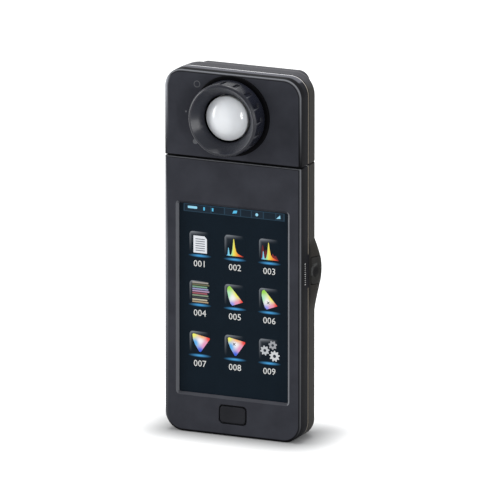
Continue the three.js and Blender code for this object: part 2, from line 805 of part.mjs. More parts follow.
// Side board of the left buttons, the data socket and the sync terminal
const sideBoard = { thickness: 1.2, depth: 8.2, strapRoom: 0.5 };
const dataSocket = { width: 7.5, height: 3, shell: 0.35, tongue: 0.6, holeMargin: 0.6 };
const dataFlap = { height: 12.4, width: 5.4, thickness: 1.1, plugMargin: 0.5, plugThickness: 0.6, opensTo: 110 };
const terminal = { sleeve: 3, flange: 3.7, flangeThickness: 1, bore: 1.6, boreDepth: 4 };
const cap = { radius: 3.9, thickness: 1.3, plug: 1.2, plugLength: 2, knurls: 10, knurl: 0.35, knurlSides: 6 };

const sideBoardSolid = () =>
  box(
    sideBoardFace,
    sideBoardFace + sideBoard.thickness,
    fromFace(daughterFront),
    fromFace(daughterFront + sideBoard.depth),
    strapTop + strap.wall + sideBoard.strapRoom,
    boardTop,
  );

const dataMouth = -sideInner + fitGap;

function dataSocketSolid() {
  const { width, height, shell, tongue } = dataSocket;
  const centre = socketHeight;
  const back = sideBoardFace - fitGap;
  const shape = (grow) => new THREE.Shape(rectanglePoints(height + grow, width + grow));
  const insert = new THREE.Shape(rectanglePoints(tongue, width - 4 * shell));
  return add(
    cut(
      slabX(shape(0), dataMouth, back, sideDepth, centre),
      slabX(shape(-2 * shell), dataMouth - overrun, back - 2 * shell, sideDepth, centre),
    ),
    slabX(insert, dataMouth + shell, back - shell, sideDepth, centre),
  );
}

// The hole to the data socket and the shallow seat of its flap.
function dataHole() {
  const { width, height, holeMargin } = dataSocket;
  const centre = socketHeight;
  const hole = roundedRectangle(height + 2 * holeMargin, width + 2 * holeMargin, holeMargin);
  const seat = roundedRectangle(dataFlap.width + 2 * fitGap, dataFlap.height + 2 * fitGap, holeMargin + fitGap);
  const seatFloor = -halfWidth + dataFlap.thickness + fitGap / 2;
  return add(
    slabX(hole, -halfWidth, -sideInner + overrun, sideDepth, centre),
    slabX(seat, -halfWidth - overrun, seatFloor, sideDepth, centre),
  );
}

function dataFlapSolid() {
  const { height, width, thickness, plugMargin, plugThickness } = dataFlap;
  const leaf = roundedRectangle(width, height, dataSocket.holeMargin);
  const plug = roundedRectangle(dataSocket.height - plugMargin, dataSocket.width - plugMargin, plugMargin);
  const outer = -halfWidth + fitGap / 2;
  const inner = outer + thickness - fitGap / 2;
  return add(
    slabX(leaf, outer, inner, sideDepth, socketHeight, 2),
    slabX(plug, inner - fitGap, inner + plugThickness - fitGap / 2, sideDepth, socketHeight, 2),
  );
}

function terminalSolid() {
  const flangeOuter = -sideInner + 3 * fitGap;
  return cut(
    add(
      rodX(terminal.sleeve, -halfWidth, sideBoardFace - fitGap, sideDepth, terminalHeight),
      rodX(terminal.flange, flangeOuter, flangeOuter + terminal.flangeThickness, sideDepth, terminalHeight),
    ),
    rodX(terminal.bore, -halfWidth - overrun, -halfWidth + terminal.boreDepth, sideDepth, terminalHeight, smallSides),
  );
}

const terminalHole = () =>
  rodX(terminal.sleeve + fitGap, -halfWidth - overrun, -sideInner + overrun, sideDepth, terminalHeight);

function capSolid() {
  const outer = -halfWidth - fitGap - cap.thickness;
  const disc = rodX(cap.radius, outer, outer + cap.thickness, sideDepth, terminalHeight);
  const plug = rodX(cap.plug, outer + fitGap, -halfWidth + cap.plugLength, sideDepth, terminalHeight, smallSides);
  const knurls = Array.from({ length: cap.knurls }, (_, i) => {
    const angle = (2 * Math.PI * i) / cap.knurls;
    const [side, up] = [cap.radius * Math.cos(angle), cap.radius * Math.sin(angle)];
    const reach = [outer - overrun, outer + cap.thickness - cap.knurl];
    return rodX(cap.knurl, ...reach, sideDepth + side, terminalHeight + up, cap.knurlSides);
  });
  return cut(add(disc, plug), ...knurls);
}

function traySolid() {
  const back = fromFace(trayBack);
  return cut(
    box(-trayHalf - tray.wall, trayHalf + tray.wall, fromFace(trayFront), back, trayBottom, trayTop),
    box(-trayHalf, trayHalf, fromFace(trayFloor), back + overrun, bayBottom, bayTop),
  );
}

// A round cell with its plus end up, standing on its own base.
function cellSolid() {
  const { radius, length, edge, nub, nubHeight } = cell;
  const profile = [
    [0, 0],
    [radius - edge, 0],
    [radius, edge],
    [radius, length - edge],
    [radius - edge, length],
    [nub, length],
    [nub, length + nubHeight],
    [0, length + nubHeight],
  ];
  const points = profile.map(([r, z]) => new THREE.Vector2(r, z));
  return solid(new THREE.LatheGeometry(points, holeSides).rotateX(Math.PI / 2));
}

const plateSolid = (halfLength, bottom) =>
  box(
    -halfLength,
    halfLength,
    fromFace(cellDepth) - contact.width / 2,
    fromFace(cellDepth) + contact.width / 2,
    bottom,
    bottom + contact.thickness,
  );

// The centre line of a contact spring, a helix that narrows towards the cell.
class ConeHelix extends THREE.Curve {
  getPoint(t, target = new THREE.Vector3()) {
    const angle = 2 * Math.PI * contact.turns * t;
    const radius = contact.wide + (contact.narrow - contact.wide) * t;
    const rise = contact.wire + (contact.spring - 2 * contact.wire) * t;
    return target.set(radius * Math.cos(angle), radius * Math.sin(angle), rise);
  }
}

function springGeometry() {
  const wireSides = 4;
  const stepsPerTurn = 9;
  const section = new THREE.Shape(
    Array.from({ length: wireSides }, (_, i) => {
      const angle = (2 * Math.PI * i) / wireSides;
      return new THREE.Vector2(contact.wire * Math.cos(angle), contact.wire * Math.sin(angle));
    }),
  );
  return new THREE.ExtrudeGeometry(section, {
    steps: contact.turns * stepsPerTurn,
    extrudePath: new ConeHelix(),
    bevelEnabled: false,
  });
}

// The region that the battery cover takes from the back of the body.
const coverZone = (grow, back = bodyDepth + overrun) =>
  box(
    -halfWidth - overrun,
    halfWidth + overrun,
    fromFace(shoulderStart + cover.behindShoulder - grow),
    fromFace(back),
    cover.bottom - grow,
    coverTop + grow,
  );

const coverSolid = () => cut(rearForm(bodyCase).intersect(coverZone(0)), rearForm(bodyCase, cover.thickness));

const stepHeight = coverTop + fitGap + cover.floor;
const bayOpening = () =>
  add(
    box(-trayHalf, trayHalf, fromFace(trayBack), fromFace(bodyDepth), bayBottom, coverTop),
    box(-trayHalf, trayHalf, fromFace(trayBack), fromFace(bodyDepth - wall), bayBottom, stepHeight + overrun),
  );

// Lock of the battery cover, a slider on the back just above the cover
const lock = {
  width: 12,
  height: 4.6,
  travel: 2.6,
  recess: 0.9,
  margin: 0.8,
  stem: 3,
  slotMargin: 0.4,
  plate: 1,
  ribs: 3,
  rib: 0.25,
};
const lockBottom = trayTop + fitGap;
const lockCentre = lockBottom + lock.height / 2;

function lockRecess() {
  const height = lock.height + lock.travel + 2 * lock.margin;
  const centre = lockBottom - lock.margin + height / 2;
  const shape = roundedRectangle(lock.width + 2 * lock.margin, height, lock.margin);
  const slot = new THREE.Shape(
    rectanglePoints(lock.stem + 2 * lock.slotMargin, lock.stem + lock.travel + 2 * lock.slotMargin),
  );
  return add(
    slabY(shape, bodyDepth - lock.recess, bodyDepth + overrun, 0, centre),
    slabY(slot, bodyDepth - wall - overrun, bodyDepth, 0, lockCentre + lock.travel / 2),
  );
}

function lockSolid() {
  const knobFront = bodyDepth - lock.recess + fitGap;
  const plateBack = bodyDepth - wall - fitGap;
  const knob = slabY(roundedRectangle(lock.width, lock.height, lock.margin), knobFront, bodyDepth, 0, lockCentre);
  const stemShape = new THREE.Shape(rectanglePoints(lock.stem, lock.stem));
  const stem = slabY(stemShape, plateBack - lock.plate / 2, knobFront + fitGap, 0, lockCentre);
  const plateShape = new THREE.Shape(rectanglePoints(2 * lock.stem, lock.height));
  const plate = slabY(plateShape, plateBack - lock.plate, plateBack, 0, lockCentre);
  const grooves = Array.from({ length: lock.ribs }, (_, i) => {
    const z = lockCentre + ((i - (lock.ribs - 1) / 2) * lock.height) / (lock.ribs + 1);
    const groove = new THREE.Shape(rectanglePoints(lock.width - 2 * lock.margin, 2 * lock.rib));
    return slabY(groove, bodyDepth - lock.rib, bodyDepth + overrun, 0, z);
  });
  return cut(add(knob, stem, plate), ...grooves);
}

// Tripod bush in the back
const tripod = { aboveLock: 13.2, bore: 3.175, boreDepth: 7.5, wall: 2.325, length: 9, flange: 2, flangeThickness: 1.4 };
const tripodHeight = lockBottom + lock.height + tripod.aboveLock;
const tripodOuter = tripod.bore + tripod.wall;

function tripodSolid() {
  const flangeBack = bodyDepth - wall - fitGap;
  return cut(
    add(
      rodY(tripodOuter, bodyDepth - tripod.length, bodyDepth - fitGap / 2, 0, tripodHeight),
      rodY(tripodOuter + tripod.flange, flangeBack - tripod.flangeThickness, flangeBack, 0, tripodHeight),
    ),
    rodY(tripod.bore, bodyDepth - tripod.boreDepth, bodyDepth + overrun, 0, tripodHeight),
  );
}

// Body shells
const swivelHole = (z0, z1) => rodZ(bushRadius + fitGap, z0, z1, 0, swivelDepth);

function bodyFrontSolid() {
  const posts = [-screwX, screwX].flatMap((x) => [bodyScrewLow, bodyScrewHigh].map((z) => screwPost(x, z)));
  const pilots = [-screwX, screwX].flatMap((x) => [
    pilotHole(x, bodyScrewLow, lowSeat),
    pilotHole(x, bodyScrewHigh, highSeat),
  ]);
  return cut(
    add(frontShell(bodyCase), ...posts),
    ...pilots,
    screenRecess(),
    menuWindow(),
    swivelHole(bushFlangeTop, bodyTop + overrun),
  );
}

const lowSeat = bodyDepth - coverInset - screw.headHeight - fitGap;

function bodyRearSolid() {
  const outer = rearForm(bodyCase);
  const recessed = rearForm(bodyCase, coverInset).intersect(coverZone(2 * overrun));
  const envelope = add(cut(outer, coverZone(fitGap)), recessed.intersect(outer));
  const upper = box(
    -halfWidth,
    halfWidth,
    fromFace(0),
    fromFace(bodyDepth),
    stepHeight,
    totalHeight,
  );
  const hollow = add(rearForm(bodyCase, wall).intersect(upper), rearForm(bodyCase, innerInset));
  const swellHollow = swellForm(wall);
  const swellOuter = cut(swellForm(), coverZone(fitGap));
  const bosses = [-screwX, screwX].flatMap((x) => [
    screwBoss(x, bodyScrewLow, lowSeat),
    screwBoss(x, bodyScrewHigh, highSeat),
  ]);
  const bores = [-screwX, screwX].flatMap((x) => [
    screwBore(x, bodyScrewLow, lowSeat),
    screwBore(x, bodyScrewHigh, highSeat),
  ]);
  const ownWalls = add(strapBlock(), ...bosses).intersect(envelope);
  return cut(
    add(cut(add(envelope, swellOuter), hollow, swellHollow, lipRoom(bodyCase)), cut(ownWalls, lipRoom(bodyCase))),
    ...bores,
    strapRoom(),
    strapPinSolid(fitGap),
    keyPrism(0, deckHalfWidth - wall - overrun, halfWidth + swell.crest + overrun),
    sideKeyWindow(powerKeyHeight),
    sideKeyWindow(memoryKeyHeight),
    dataHole(),
    terminalHole(),
    bayOpening(),
    lockRecess(),
    rodY(tripodOuter + fitGap, bodyDepth - 2 * wall, bodyDepth + overrun, 0, tripodHeight),
    swivelHole(bushFlangeTop, bodyTop + overrun),
  );
}

// Swivel pieces
const tubeZ = (outer, inner, z0, z1, sides = holeSides) =>
  cut(rodZ(outer, z0, z1, 0, swivelDepth, sides), rodZ(inner, z0 - overrun, z1 + overrun, 0, swivelDepth, sides));

const bushSolid = () =>
  add(
    tubeZ(bushRadius, spigotRadius + fitGap, bushBottom, bushTop),
    tubeZ(bushRadius + swivel.bushFlange, spigotRadius + fitGap, bushFlangeTop - swivel.flangeThickness, bushFlangeTop),
  );

// The spigot in the head's frame, so its lower end is below the split.
const headFloor = headGap / 2 + wall;
function spigotSolid() {
  const flangeBottom = headFloor + fitGap;
  const bottom = spigotBottom - splitHeight;
  const tube = add(
    rodZ(spigotRadius, bottom, flangeBottom + swivel.flangeThickness, 0, swivelDepth),
    rodZ(spigotRadius + swivel.topFlange, flangeBottom, flangeBottom + swivel.flangeThickness, 0, swivelDepth),
  );
  const groove = tubeZ(
    spigotRadius + overrun,
    grooveRadius,
    grooveBottom - splitHeight,
    circlipTop + fitGap - splitHeight,
  );
  const bore = rodZ(swivel.bore, bottom - overrun, headHeight / 2, 0, swivelDepth);
  return cut(tube, groove, bore);
}

function circlipSolid() {
  const [z0, z1] = [circlipBottom - splitHeight, circlipTop - splitHeight];
  const opening = swivel.circlipOpening / 2;
  return cut(
    tubeZ(spigotRadius + swivel.circlipReach, grooveRadius + fitGap, z0, z1),
    box(-opening, opening, fromFace(swivelDepth), fromFace(bodyDepth), z0 - overrun, z1 + overrun),
  );
}

// Head: receptor on the front
// Heights here are counted out of the front face, and radii from the receptor's axis.
const clampNut = { width: 1.4, thickness: 1.5, grip: 0.4 };
const ring = {
  wall: 4.9,
  rimStep: 1.1,
  rimFlat: 0.5,
  chamfer: 1,
  throatLip: 0.4,
  throatHeight: 6.6,
  notches: 16,
  notchWidth: 2.2,
  notchDepth: 0.8,
  notchTop: 11.6,
  notchBottom: 5.4,
  turn: 75,
};
const ringOuter = tubeOuter + ring.wall;
const ringRim = ringOuter - ring.rimStep;
const receptorSides = 36;
const hiddenSides = 24;

const nutTop = -frontPlate - fitGap;
const collarBack = nutTop - clampNut.thickness - clampNut.grip;
const ringBottom = collar.proud + fitGap;
const domeSeat = collarBack + collar.floor;

const receptorGroup = new THREE.Group();
receptorGroup.position.set(0, fromFace(0), receptorHeight);
headGroup.add(receptorGroup);

// The slots that let the shutter's legs turn with the ring.
function legSlot(start) {
  const margin = Math.asin((shutter.legRadius + fitGap) / legCircle);
  const [inner, outer] = [-1, 1].map((side) => legCircle + side * (shutter.legRadius + fitGap));
  const turn = THREE.MathUtils.degToRad(ring.turn);
  const shape = new THREE.Shape();
  shape.absarc(0, 0, outer, start - margin, start + turn + margin);
  shape.absarc(0, 0, inner, start + turn + margin, start - margin, true);
  const geometry = new THREE.ExtrudeGeometry(shape, {
    depth: collar.proud - collarBack + 2 * overrun,
    bevelEnabled: false,
    curveSegments: cornerSteps,
  });
  return solid(geometry.applyMatrix4(along.y).translate(0, -collarBack + overrun, 0));
}

const legStarts = [THREE.MathUtils.degToRad(-ring.turn / 2), Math.PI - THREE.MathUtils.degToRad(ring.turn / 2)];

function collarSolid() {
  const profile = [
    [0, collarBack],
    [collarBody, collarBack],
    [collarBody, fitGap],
    [collarRim, fitGap],
    [collarRim, collar.proud - partingChamfer],
    [collarRim - partingChamfer, collar.proud],
    [tubeOuter, collar.proud],
    [tubeOuter, collar.tubeTop],
    [tubeInner, collar.tubeTop],
    [tubeInner, domeSeat],
    [0, domeSeat],
  ];
  const aperture = rodAlongFace(collar.aperture, collarBack - overrun, domeSeat + overrun, collar.apertureOffset, 0);
  return cut(turned(profile, receptorSides), aperture, ...legStarts.map(legSlot));
}

// A rod square to the front face in the receptor's own frame, between two heights.
function rodAlongFace(radius, fromHeight, toHeight, x, z, sides = smallSides) {
  const geometry = new THREE.CylinderGeometry(radius, radius, toHeight - fromHeight, sides);
  return solid(geometry.translate(x, -(fromHeight + toHeight) / 2, z));
}

function ringSolid() {
  const tubeClear = tubeOuter + fitGap;
  const throat = tubeInner - ring.throatLip;
  const shelf = collar.tubeTop + fitGap;
  const profile = [
    [tubeClear, ringBottom],
    [ringOuter, ringBottom],
    [ringOuter, receptor.proud - ring.chamfer],
    [ringRim, receptor.proud],
    [ringRim - ring.rimFlat, receptor.proud],
    [throat, ring.throatHeight],
    [throat, shelf],
    [tubeClear, shelf],
    [tubeClear, ringBottom],
  ];
  const notchInner = ringOuter - ring.notchDepth;
  const notches = Array.from({ length: ring.notches }, (_, i) => {
    const geometry = new THREE.BoxGeometry(2 * ring.notchDepth, ring.notchTop - ring.notchBottom, ring.notchWidth);
    geometry.translate(notchInner + ring.notchDepth, -(ring.notchTop + ring.notchBottom) / 2, 0);
    return solid(geometry.rotateY((2 * Math.PI * i) / ring.notches));
  });
  return cut(turned(profile, receptorSides), ...notches);
}

function domeSolid() {
  const { radius, skirtTop, rise, flangeThickness, steps } = dome;
  const flange = tubeInner - fitGap;
  const bottom = domeSeat + fitGap;
  const sphere = (radius ** 2 + rise ** 2) / (2 * rise);
  const edgeAngle = Math.asin(radius / sphere);
  const crown = Array.from({ length: steps + 1 }, (_, i) => {
    const angle = edgeAngle * (1 - i / steps);
    return [sphere * Math.sin(angle), skirtTop + rise - sphere * (1 - Math.cos(angle))];
  });
  const profile = [
    [0, bottom],
    [flange, bottom],
    [flange, bottom + flangeThickness],
    [radius, bottom + flangeThickness],
    ...crown.slice(0, -1),
    [0, skirtTop + rise],
  ];
  return turned(profile, receptorSides);
}

function retainerSolid() {
  const bottom = domeSeat + 2 * fitGap + dome.flangeThickness;
  return collarRing(dome.radius + fitGap, tubeInner - fitGap, bottom, bottom + retainer.height);
}

// A plain ring round the receptor's axis, between two heights.
function collarRing(inner, outer, fromHeight, toHeight) {
  const profile = [
    [inner, fromHeight],
    [outer, fromHeight],
    [outer, toHeight],
    [inner, toHeight],
    [inner, fromHeight],
  ];
  return turned(profile, hiddenSides);
}

function shutterSolid() {
  const top = collarBack - fitGap;
  const disc = rodAlongFace(legCircle + shutter.legRadius + shutter.rim, top - shutter.thickness, top, 0, 0, hiddenSides);
  const legs = legStarts.map((angle) => {
    const [x, z] = [legCircle * Math.cos(angle), legCircle * Math.sin(angle)];
    return rodAlongFace(shutter.legRadius, top - shutter.thickness / 2, ringBottom - fitGap, x, z);
  });
  const window = rodAlongFace(shutter.window, top - overrun - shutter.thickness, top + overrun, collar.apertureOffset, 0);
  return cut(add(disc, ...legs), window);
}

// Optical block and sensor board behind the receptor
const optics = { sideRoom: 3.6, height: 28, thickness: 6.2, radius: 1.5, port: 2.6, portDepth: 3 };
const sensorBoard = { margin: 3, thickness: 1.2, screwHole: 1.5, plugWidth: 7, plugHeight: 3, radius: 1 };
const opticsFront = -collarBack + fitGap + shutter.thickness + fitGap;
const opticsBack = opticsFront + optics.thickness;
const sensorFront = opticsBack + fitGap;
const sensorBack = sensorFront + sensorBoard.thickness;
const sensorBottom = headScrewLow - sensorBoard.margin;
const sensorTop = headScrewHigh + sensorBoard.margin;

function opticsSolid() {
  const width = 2 * (screwX - postRadius - optics.sideRoom);
  const shape = roundedRectangle(width, optics.height, optics.radius);
  return cut(
    slabY(shape, opticsFront, opticsBack, 0, receptorHeight, 2),
    rodY(optics.port, opticsFront - overrun, opticsFront + optics.portDepth, collar.apertureOffset, receptorHeight, smallSides),
  );
}

// The board has the plug of the cable on the swivel's axis, so that the cable only twists.
function sensorBoardSolid() {
  const { margin, radius, plugWidth, plugHeight, screwHole } = sensorBoard;
  const shape = roundedRectangle(2 * (screwX + margin), sensorTop - sensorBottom, radius);
  const board = slabY(shape, sensorFront, sensorBack, 0, (sensorBottom + sensorTop) / 2, 2);
  const plug = box(
    -plugWidth / 2,
    plugWidth / 2,
    fromFace(Math.min(sensorFront, swivelDepth - cable.radius)),
    fromFace(Math.max(sensorBack, swivelDepth + cable.radius)),
    sensorBottom - plugHeight,
    sensorBottom + fitGap,
  );
  const holes = headScrewPlaces.map(([x, z]) =>
    rodY(screwHole, sensorFront - overrun, sensorBack + overrun, x, z, smallSides),
  );
  return cut(add(board, plug), ...holes);
}

// Head cable, clipped between the main board's plug and the head's
const cable = { radius: 1.4, sides: 8, steps: 9 };

function cableGeometry() {
  const low = boardTop - cablePlug.below + fitGap;
  const high = splitHeight + sensorBottom - sensorBoard.plugHeight - fitGap;
  const plugDepth = boardBack + cablePlug.thickness / 2;
  const bend = 4 * cable.radius;
  const path = new THREE.CatmullRomCurve3([
    new THREE.Vector3(0, fromFace(plugDepth), low),
    new THREE.Vector3(0, fromFace(plugDepth), low + bend / 2),
    new THREE.Vector3(0, fromFace(swivelDepth), low + 2 * bend),
    new THREE.Vector3(0, fromFace(swivelDepth), (low + high) / 2),
    new THREE.Vector3(0, fromFace(swivelDepth), high),
  ]);
  const section = new THREE.Shape(
    Array.from({ length: cable.sides }, (_, i) => {
      const angle = (2 * Math.PI * i) / cable.sides;
      return new THREE.Vector2(cable.radius * Math.cos(angle), cable.radius * Math.sin(angle));
    }),
  );
  return new THREE.ExtrudeGeometry(section, { steps: cable.steps, extrudePath: path, bevelEnabled: false });
}

// Head shells
const headSeat = highSeat;
const headBoss = (x, z) => rodY(postRadius, sensorBack + fitGap, headSeat + fitGap, x, z, smallSides);
const headPost = (x, z) => rodY(postRadius, frontPlate / 2, sensorFront - fitGap, x, z, smallSides);
const headScrewPlaces = [-screwX, screwX].flatMap((x) => [headScrewLow, headScrewHigh].map((z) => [x, z]));

function headFrontSolid() {
  const posts = headScrewPlaces.map(([x, z]) => headPost(x, z));
  const pilots = headScrewPlaces.map(([x, z]) =>
    rodY(screw.shank + fitGap, headSeat - screwLength - overrun, sensorBack + overrun, x, z, smallSides),
  );
  return cut(
    add(frontShell(headCase), ...posts),
    ...pilots,
    rodY(collarBody + fitGap, -overrun, frontPlate + overrun, 0, receptorHeight, receptorSides),
    rodZ(spigotRadius + fitGap, -overrun, headFloor + overrun, 0, swivelDepth),
  );
}

function headRearSolid() {
  const shell = cut(rearForm(headCase), rearForm(headCase, wall), lipRoom(headCase));
  const bosses = headScrewPlaces.map(([x, z]) => headBoss(x, z));
  const bores = headScrewPlaces.map(([x, z]) => screwBore(x, z, headSeat));
  return cut(
    add(shell, add(...bosses).intersect(rearForm(headCase))),
    ...bores,
    rodZ(spigotRadius + fitGap, -overrun, headFloor + overrun, 0, swivelDepth),
  );
}

// Body pieces
piece('front_shell', bodyFrontSolid(), materials.casing);
piece('rear_shell', bodyRearSolid(), materials.rearCasing);
piece('touch_panel', touchPanelSolid(), materials.glass);
piece('display_module', displaySolid(), materials.innerPlastic);
piece('display_frame', displayFrameSolid(), materials.innerPlastic);
piece('main_board', mainBoardSolid(), materials.board);
piece('shield_can', shieldCanSolid(), materials.aluminium);
piece('menu_button', menuButtonSolid(), materials.key);
piece('menu_switch', menuSwitchSolid(), materials.innerPlastic);
piece('measuring_button', measureButtonSolid(), materials.key);
piece('measuring_switch', measureSwitchSolid(), materials.innerPlastic);
piece('measuring_board', measureBoardSolid(), materials.board);

const sideKeyGeometry = geometryOf(sideKeySolid());
const sideSwitchGeometry = geometryOf(sideSwitchSolid());
for (const [name, z] of [['power', powerKeyHeight], ['memory', memoryKeyHeight]]) {
  piece(`${name}_button`, sideKeyGeometry, materials.key, meter, [0, 0, z]);
  piece(`${name}_switch`, sideSwitchGeometry, materials.innerPlastic, meter, [0, 0, z]);
}
piece('side_board', sideBoardSolid(), materials.board);
piece('data_socket', dataSocketSolid(), materials.steel);
piece('data_flap', dataFlapSolid(), materials.rubber);
piece('sync_terminal', terminalSolid(), materials.steel);
piece('sync_cap', capSolid(), materials.rubber);
piece('strap_pin', strapPinSolid(0), materials.steel);

piece('battery_tray', traySolid(), materials.innerPlastic);
const cellGeometry = geometryOf(cellSolid());
piece('battery_left', cellGeometry, materials.cell, meter, [-cellX, fromFace(cellDepth), uprightCellBottom]);
const turnedCellGeometry = cellGeometry.clone().rotateX(Math.PI).translate(0, 0, cell.length + cell.nubHeight);
piece('battery_right', turnedCellGeometry, materials.cell, meter, [cellX, fromFace(cellDepth), turnedCellBottom]);
piece('contact_strip', plateSolid(cellX + contact.width / 2, bayBottom + fitGap), materials.steel);
const highPlate = plateSolid(contact.width / 2, highPlateBottom);
piece('contact_plate_left', highPlate, materials.steel, meter, [-cellX, 0, 0]);
piece('contact_plate_right', highPlate, materials.steel, meter, [cellX, 0, 0]);
const spring = springGeometry();
const turnedSpring = spring.clone().rotateX(Math.PI);
piece('contact_spring_left', spring, materials.steel, meter, [-cellX, fromFace(cellDepth), plateTop + fitGap]);
piece('contact_spring_right', turnedSpring, materials.steel, meter, [
  cellX,
  fromFace(cellDepth),
  highPlateBottom - fitGap,
]);
piece('battery_cover', coverSolid(), materials.rearCasing);
piece('battery_lock', lockSolid(), materials.key);
piece('tripod_bush', tripodSolid(), materials.brass);
piece('swivel_bush', bushSolid(), materials.innerPlastic);
piece('head_cable', cableGeometry(), materials.rubber);

const screwGeometry = geometryOf(screwSolid()).translate(0, -fromFace(0), 0);
const bodyScrews = [
  ['case_screw_low_left', -screwX, lowSeat, bodyScrewLow],
  ['case_screw_low_right', screwX, lowSeat, bodyScrewLow],
  ['case_screw_high_left', -screwX, highSeat, bodyScrewHigh],
  ['case_screw_high_right', screwX, highSeat, bodyScrewHigh],
];
for (const [name, x, seat, z] of bodyScrews) {
  piece(name, screwGeometry, materials.steel, meter, [x, fromFace(seat + fitGap), z]);
}

// Head pieces
piece('head_front_shell', headFrontSolid(), materials.casing, headGroup);
piece('head_rear_shell', headRearSolid(), materials.rearCasing, headGroup);
piece('swivel_spigot', spigotSolid(), materials.aluminium, headGroup);
piece('swivel_circlip', circlipSolid(), materials.steel, headGroup);
piece('optical_block', opticsSolid(), materials.aluminium, headGroup);
piece('sensor_board', sensorBoardSolid(), materials.board, headGroup);
const headScrewNames = ['low_left', 'high_left', 'low_right', 'high_right'];
headScrewPlaces.forEach(([x, z], i) => {
  const place = [x, fromFace(headSeat + fitGap), z];
  piece(`head_screw_${headScrewNames[i]}`, screwGeometry, materials.steel, headGroup, place);
});
piece('receptor_collar', collarSolid(), materials.ring, receptorGroup);
piece('diffuser_dome', domeSolid(), materials.diffuser, receptorGroup);
piece('dome_retainer', retainerSolid(), materials.ring, receptorGroup);
const nut = collarRing(collarBody + fitGap, collarBody + fitGap + clampNut.width, nutTop - clampNut.thickness, nutTop);
piece('receptor_nut', nut, materials.aluminium, receptorGroup);
piece('selection_ring', ringSolid(), materials.ring, receptorGroup);
piece('shutter_disc', shutterSolid(), materials.ring, receptorGroup);

export default meter;
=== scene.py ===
"""A hand-held illuminance meter with a swivel head: its visible pieces, finishes, studio and camera.

Sizes are in millimetres. X is to the right, Y to the back and Z up, with the origin on the base under the
axis of the swivel. A depth is counted from the front face towards the back.
"""

import json
import logging
import math
from dataclasses import dataclass, field, replace
from enum import Enum
from functools import partial
from itertools import pairwise, product
from typing import Callable, Iterable, Sequence

import bmesh
import bpy
from bmesh.types import BMesh, BMEdge, BMFace, BMVert
from bpy.types import ID, Material, Mesh, Node, NodeSocket, NodeTree, Object
from mathutils import Matrix, Vector


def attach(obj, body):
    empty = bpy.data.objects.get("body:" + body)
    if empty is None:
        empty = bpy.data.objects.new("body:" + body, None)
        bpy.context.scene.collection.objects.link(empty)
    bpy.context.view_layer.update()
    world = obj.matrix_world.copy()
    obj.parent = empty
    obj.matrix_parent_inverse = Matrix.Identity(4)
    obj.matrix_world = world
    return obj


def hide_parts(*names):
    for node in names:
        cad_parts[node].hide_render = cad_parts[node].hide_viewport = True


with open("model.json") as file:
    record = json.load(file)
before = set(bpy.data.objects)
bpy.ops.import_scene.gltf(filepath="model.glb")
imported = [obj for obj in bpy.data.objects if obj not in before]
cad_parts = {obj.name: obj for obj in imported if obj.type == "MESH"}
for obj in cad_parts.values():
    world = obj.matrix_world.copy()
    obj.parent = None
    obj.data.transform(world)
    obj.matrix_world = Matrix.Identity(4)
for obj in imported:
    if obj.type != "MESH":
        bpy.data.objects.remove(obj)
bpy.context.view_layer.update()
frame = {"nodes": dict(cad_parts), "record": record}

log = logging.getLogger("meter")

METRES = 0.001
QUARTER = math.pi / 2
Colour = tuple[float, float, float]
Tone = tuple[float, float, float, float]
WHITE: Tone = (1.0, 1.0, 1.0, 1.0)
Pair = tuple[float, float]
Paint = Callable[[Vector], Colour]
# A tone at each point: painted light and shade over a finish, or a screen's own colours.
ToneAt = Callable[[Vector], Tone]


def clamped(value: float) -> float:
    """The value, held between 0 and 1."""
    return min(max(value, 0.0), 1.0)


def evenly(start: float, end: float, count: int) -> list[float]:
    """The two ends of a span and the places that divide it into equal parts."""
    return [start + (end - start) * i / count for i in range(count + 1)]


def quarter(count: int) -> list[Pair]:
    """The cosine and sine at both ends of a right angle and at even steps between them."""
    return [(math.cos(angle), math.sin(angle)) for angle in evenly(0.0, QUARTER, count)]


# Finishes

CLOUDS = 90.0
CLOUD_DETAIL = 4.0
SPECKLE_DETAIL = 3.0
BUMP_HEIGHT = 0.02 * METRES
NOISE_SPAN = (0.3, 0.7)
RAMP_SPAN = (0.32, 0.68)


class Grain(Enum):
    """How fine the moulded texture of a finish is, as features per metre."""

    FINE = 5200.0
    MEDIUM = 2600.0
    COARSE = 1300.0


def shader_of(material: Material) -> tuple[NodeTree, Node]:
    """The node tree of a fresh material and its Principled BSDF node."""
    material.use_nodes = True
    return material.node_tree, material.node_tree.nodes["Principled BSDF"]


def feed(tree: NodeTree, node: Node, inputs: dict[str | int, object]) -> None:
    """Sets or links inputs of a node.

    Args:
        tree: The node's tree.
        node: The node.
        inputs: For each input a value, or the output socket that is linked to it.
    """
    for name, value in inputs.items():
        if isinstance(value, NodeSocket):
            tree.links.new(value, node.inputs[name])
        else:
            node.inputs[name].default_value = value


def add_node(tree: NodeTree, kind: str, inputs: dict[str | int, object], **settings: object) -> Node:
    """A new shader node, set and linked.

    Args:
        tree: The tree that gets the node.
        kind: Its type, without the leading ShaderNode.
        inputs: What its inputs get, as for feed.
        settings: Its other settings.

    Returns:
        The node.
    """
    node = tree.nodes.new(f"ShaderNode{kind}")
    for name, value in settings.items():
        setattr(node, name, value)
    feed(tree, node, inputs)
    return node


def math_of(tree: NodeTree, operation: str, *inputs: object) -> NodeSocket:
    """The result of a Math node."""
    return add_node(tree, "Math", dict(enumerate(inputs)), operation=operation).outputs["Value"]


def noise(tree: NodeTree, scale: float, detail: float) -> NodeSocket:
    """A noise on Object coordinates, by its features per metre and its octaves."""
    place = add_node(tree, "TexCoord", {}).outputs["Object"]
    return add_node(tree, "TexNoise", {"Scale": scale, "Detail": detail, "Vector": place}).outputs["Fac"]


def spread(tree: NodeTree, source: NodeSocket, low: float, high: float) -> NodeSocket:
    """A noise's factor spread between two values."""
    inputs = {
        "From Min": NOISE_SPAN[0], "From Max": NOISE_SPAN[1], "To Min": low, "To Max": high, "Value": source,
    }
    return add_node(tree, "MapRange", inputs).outputs["Result"]


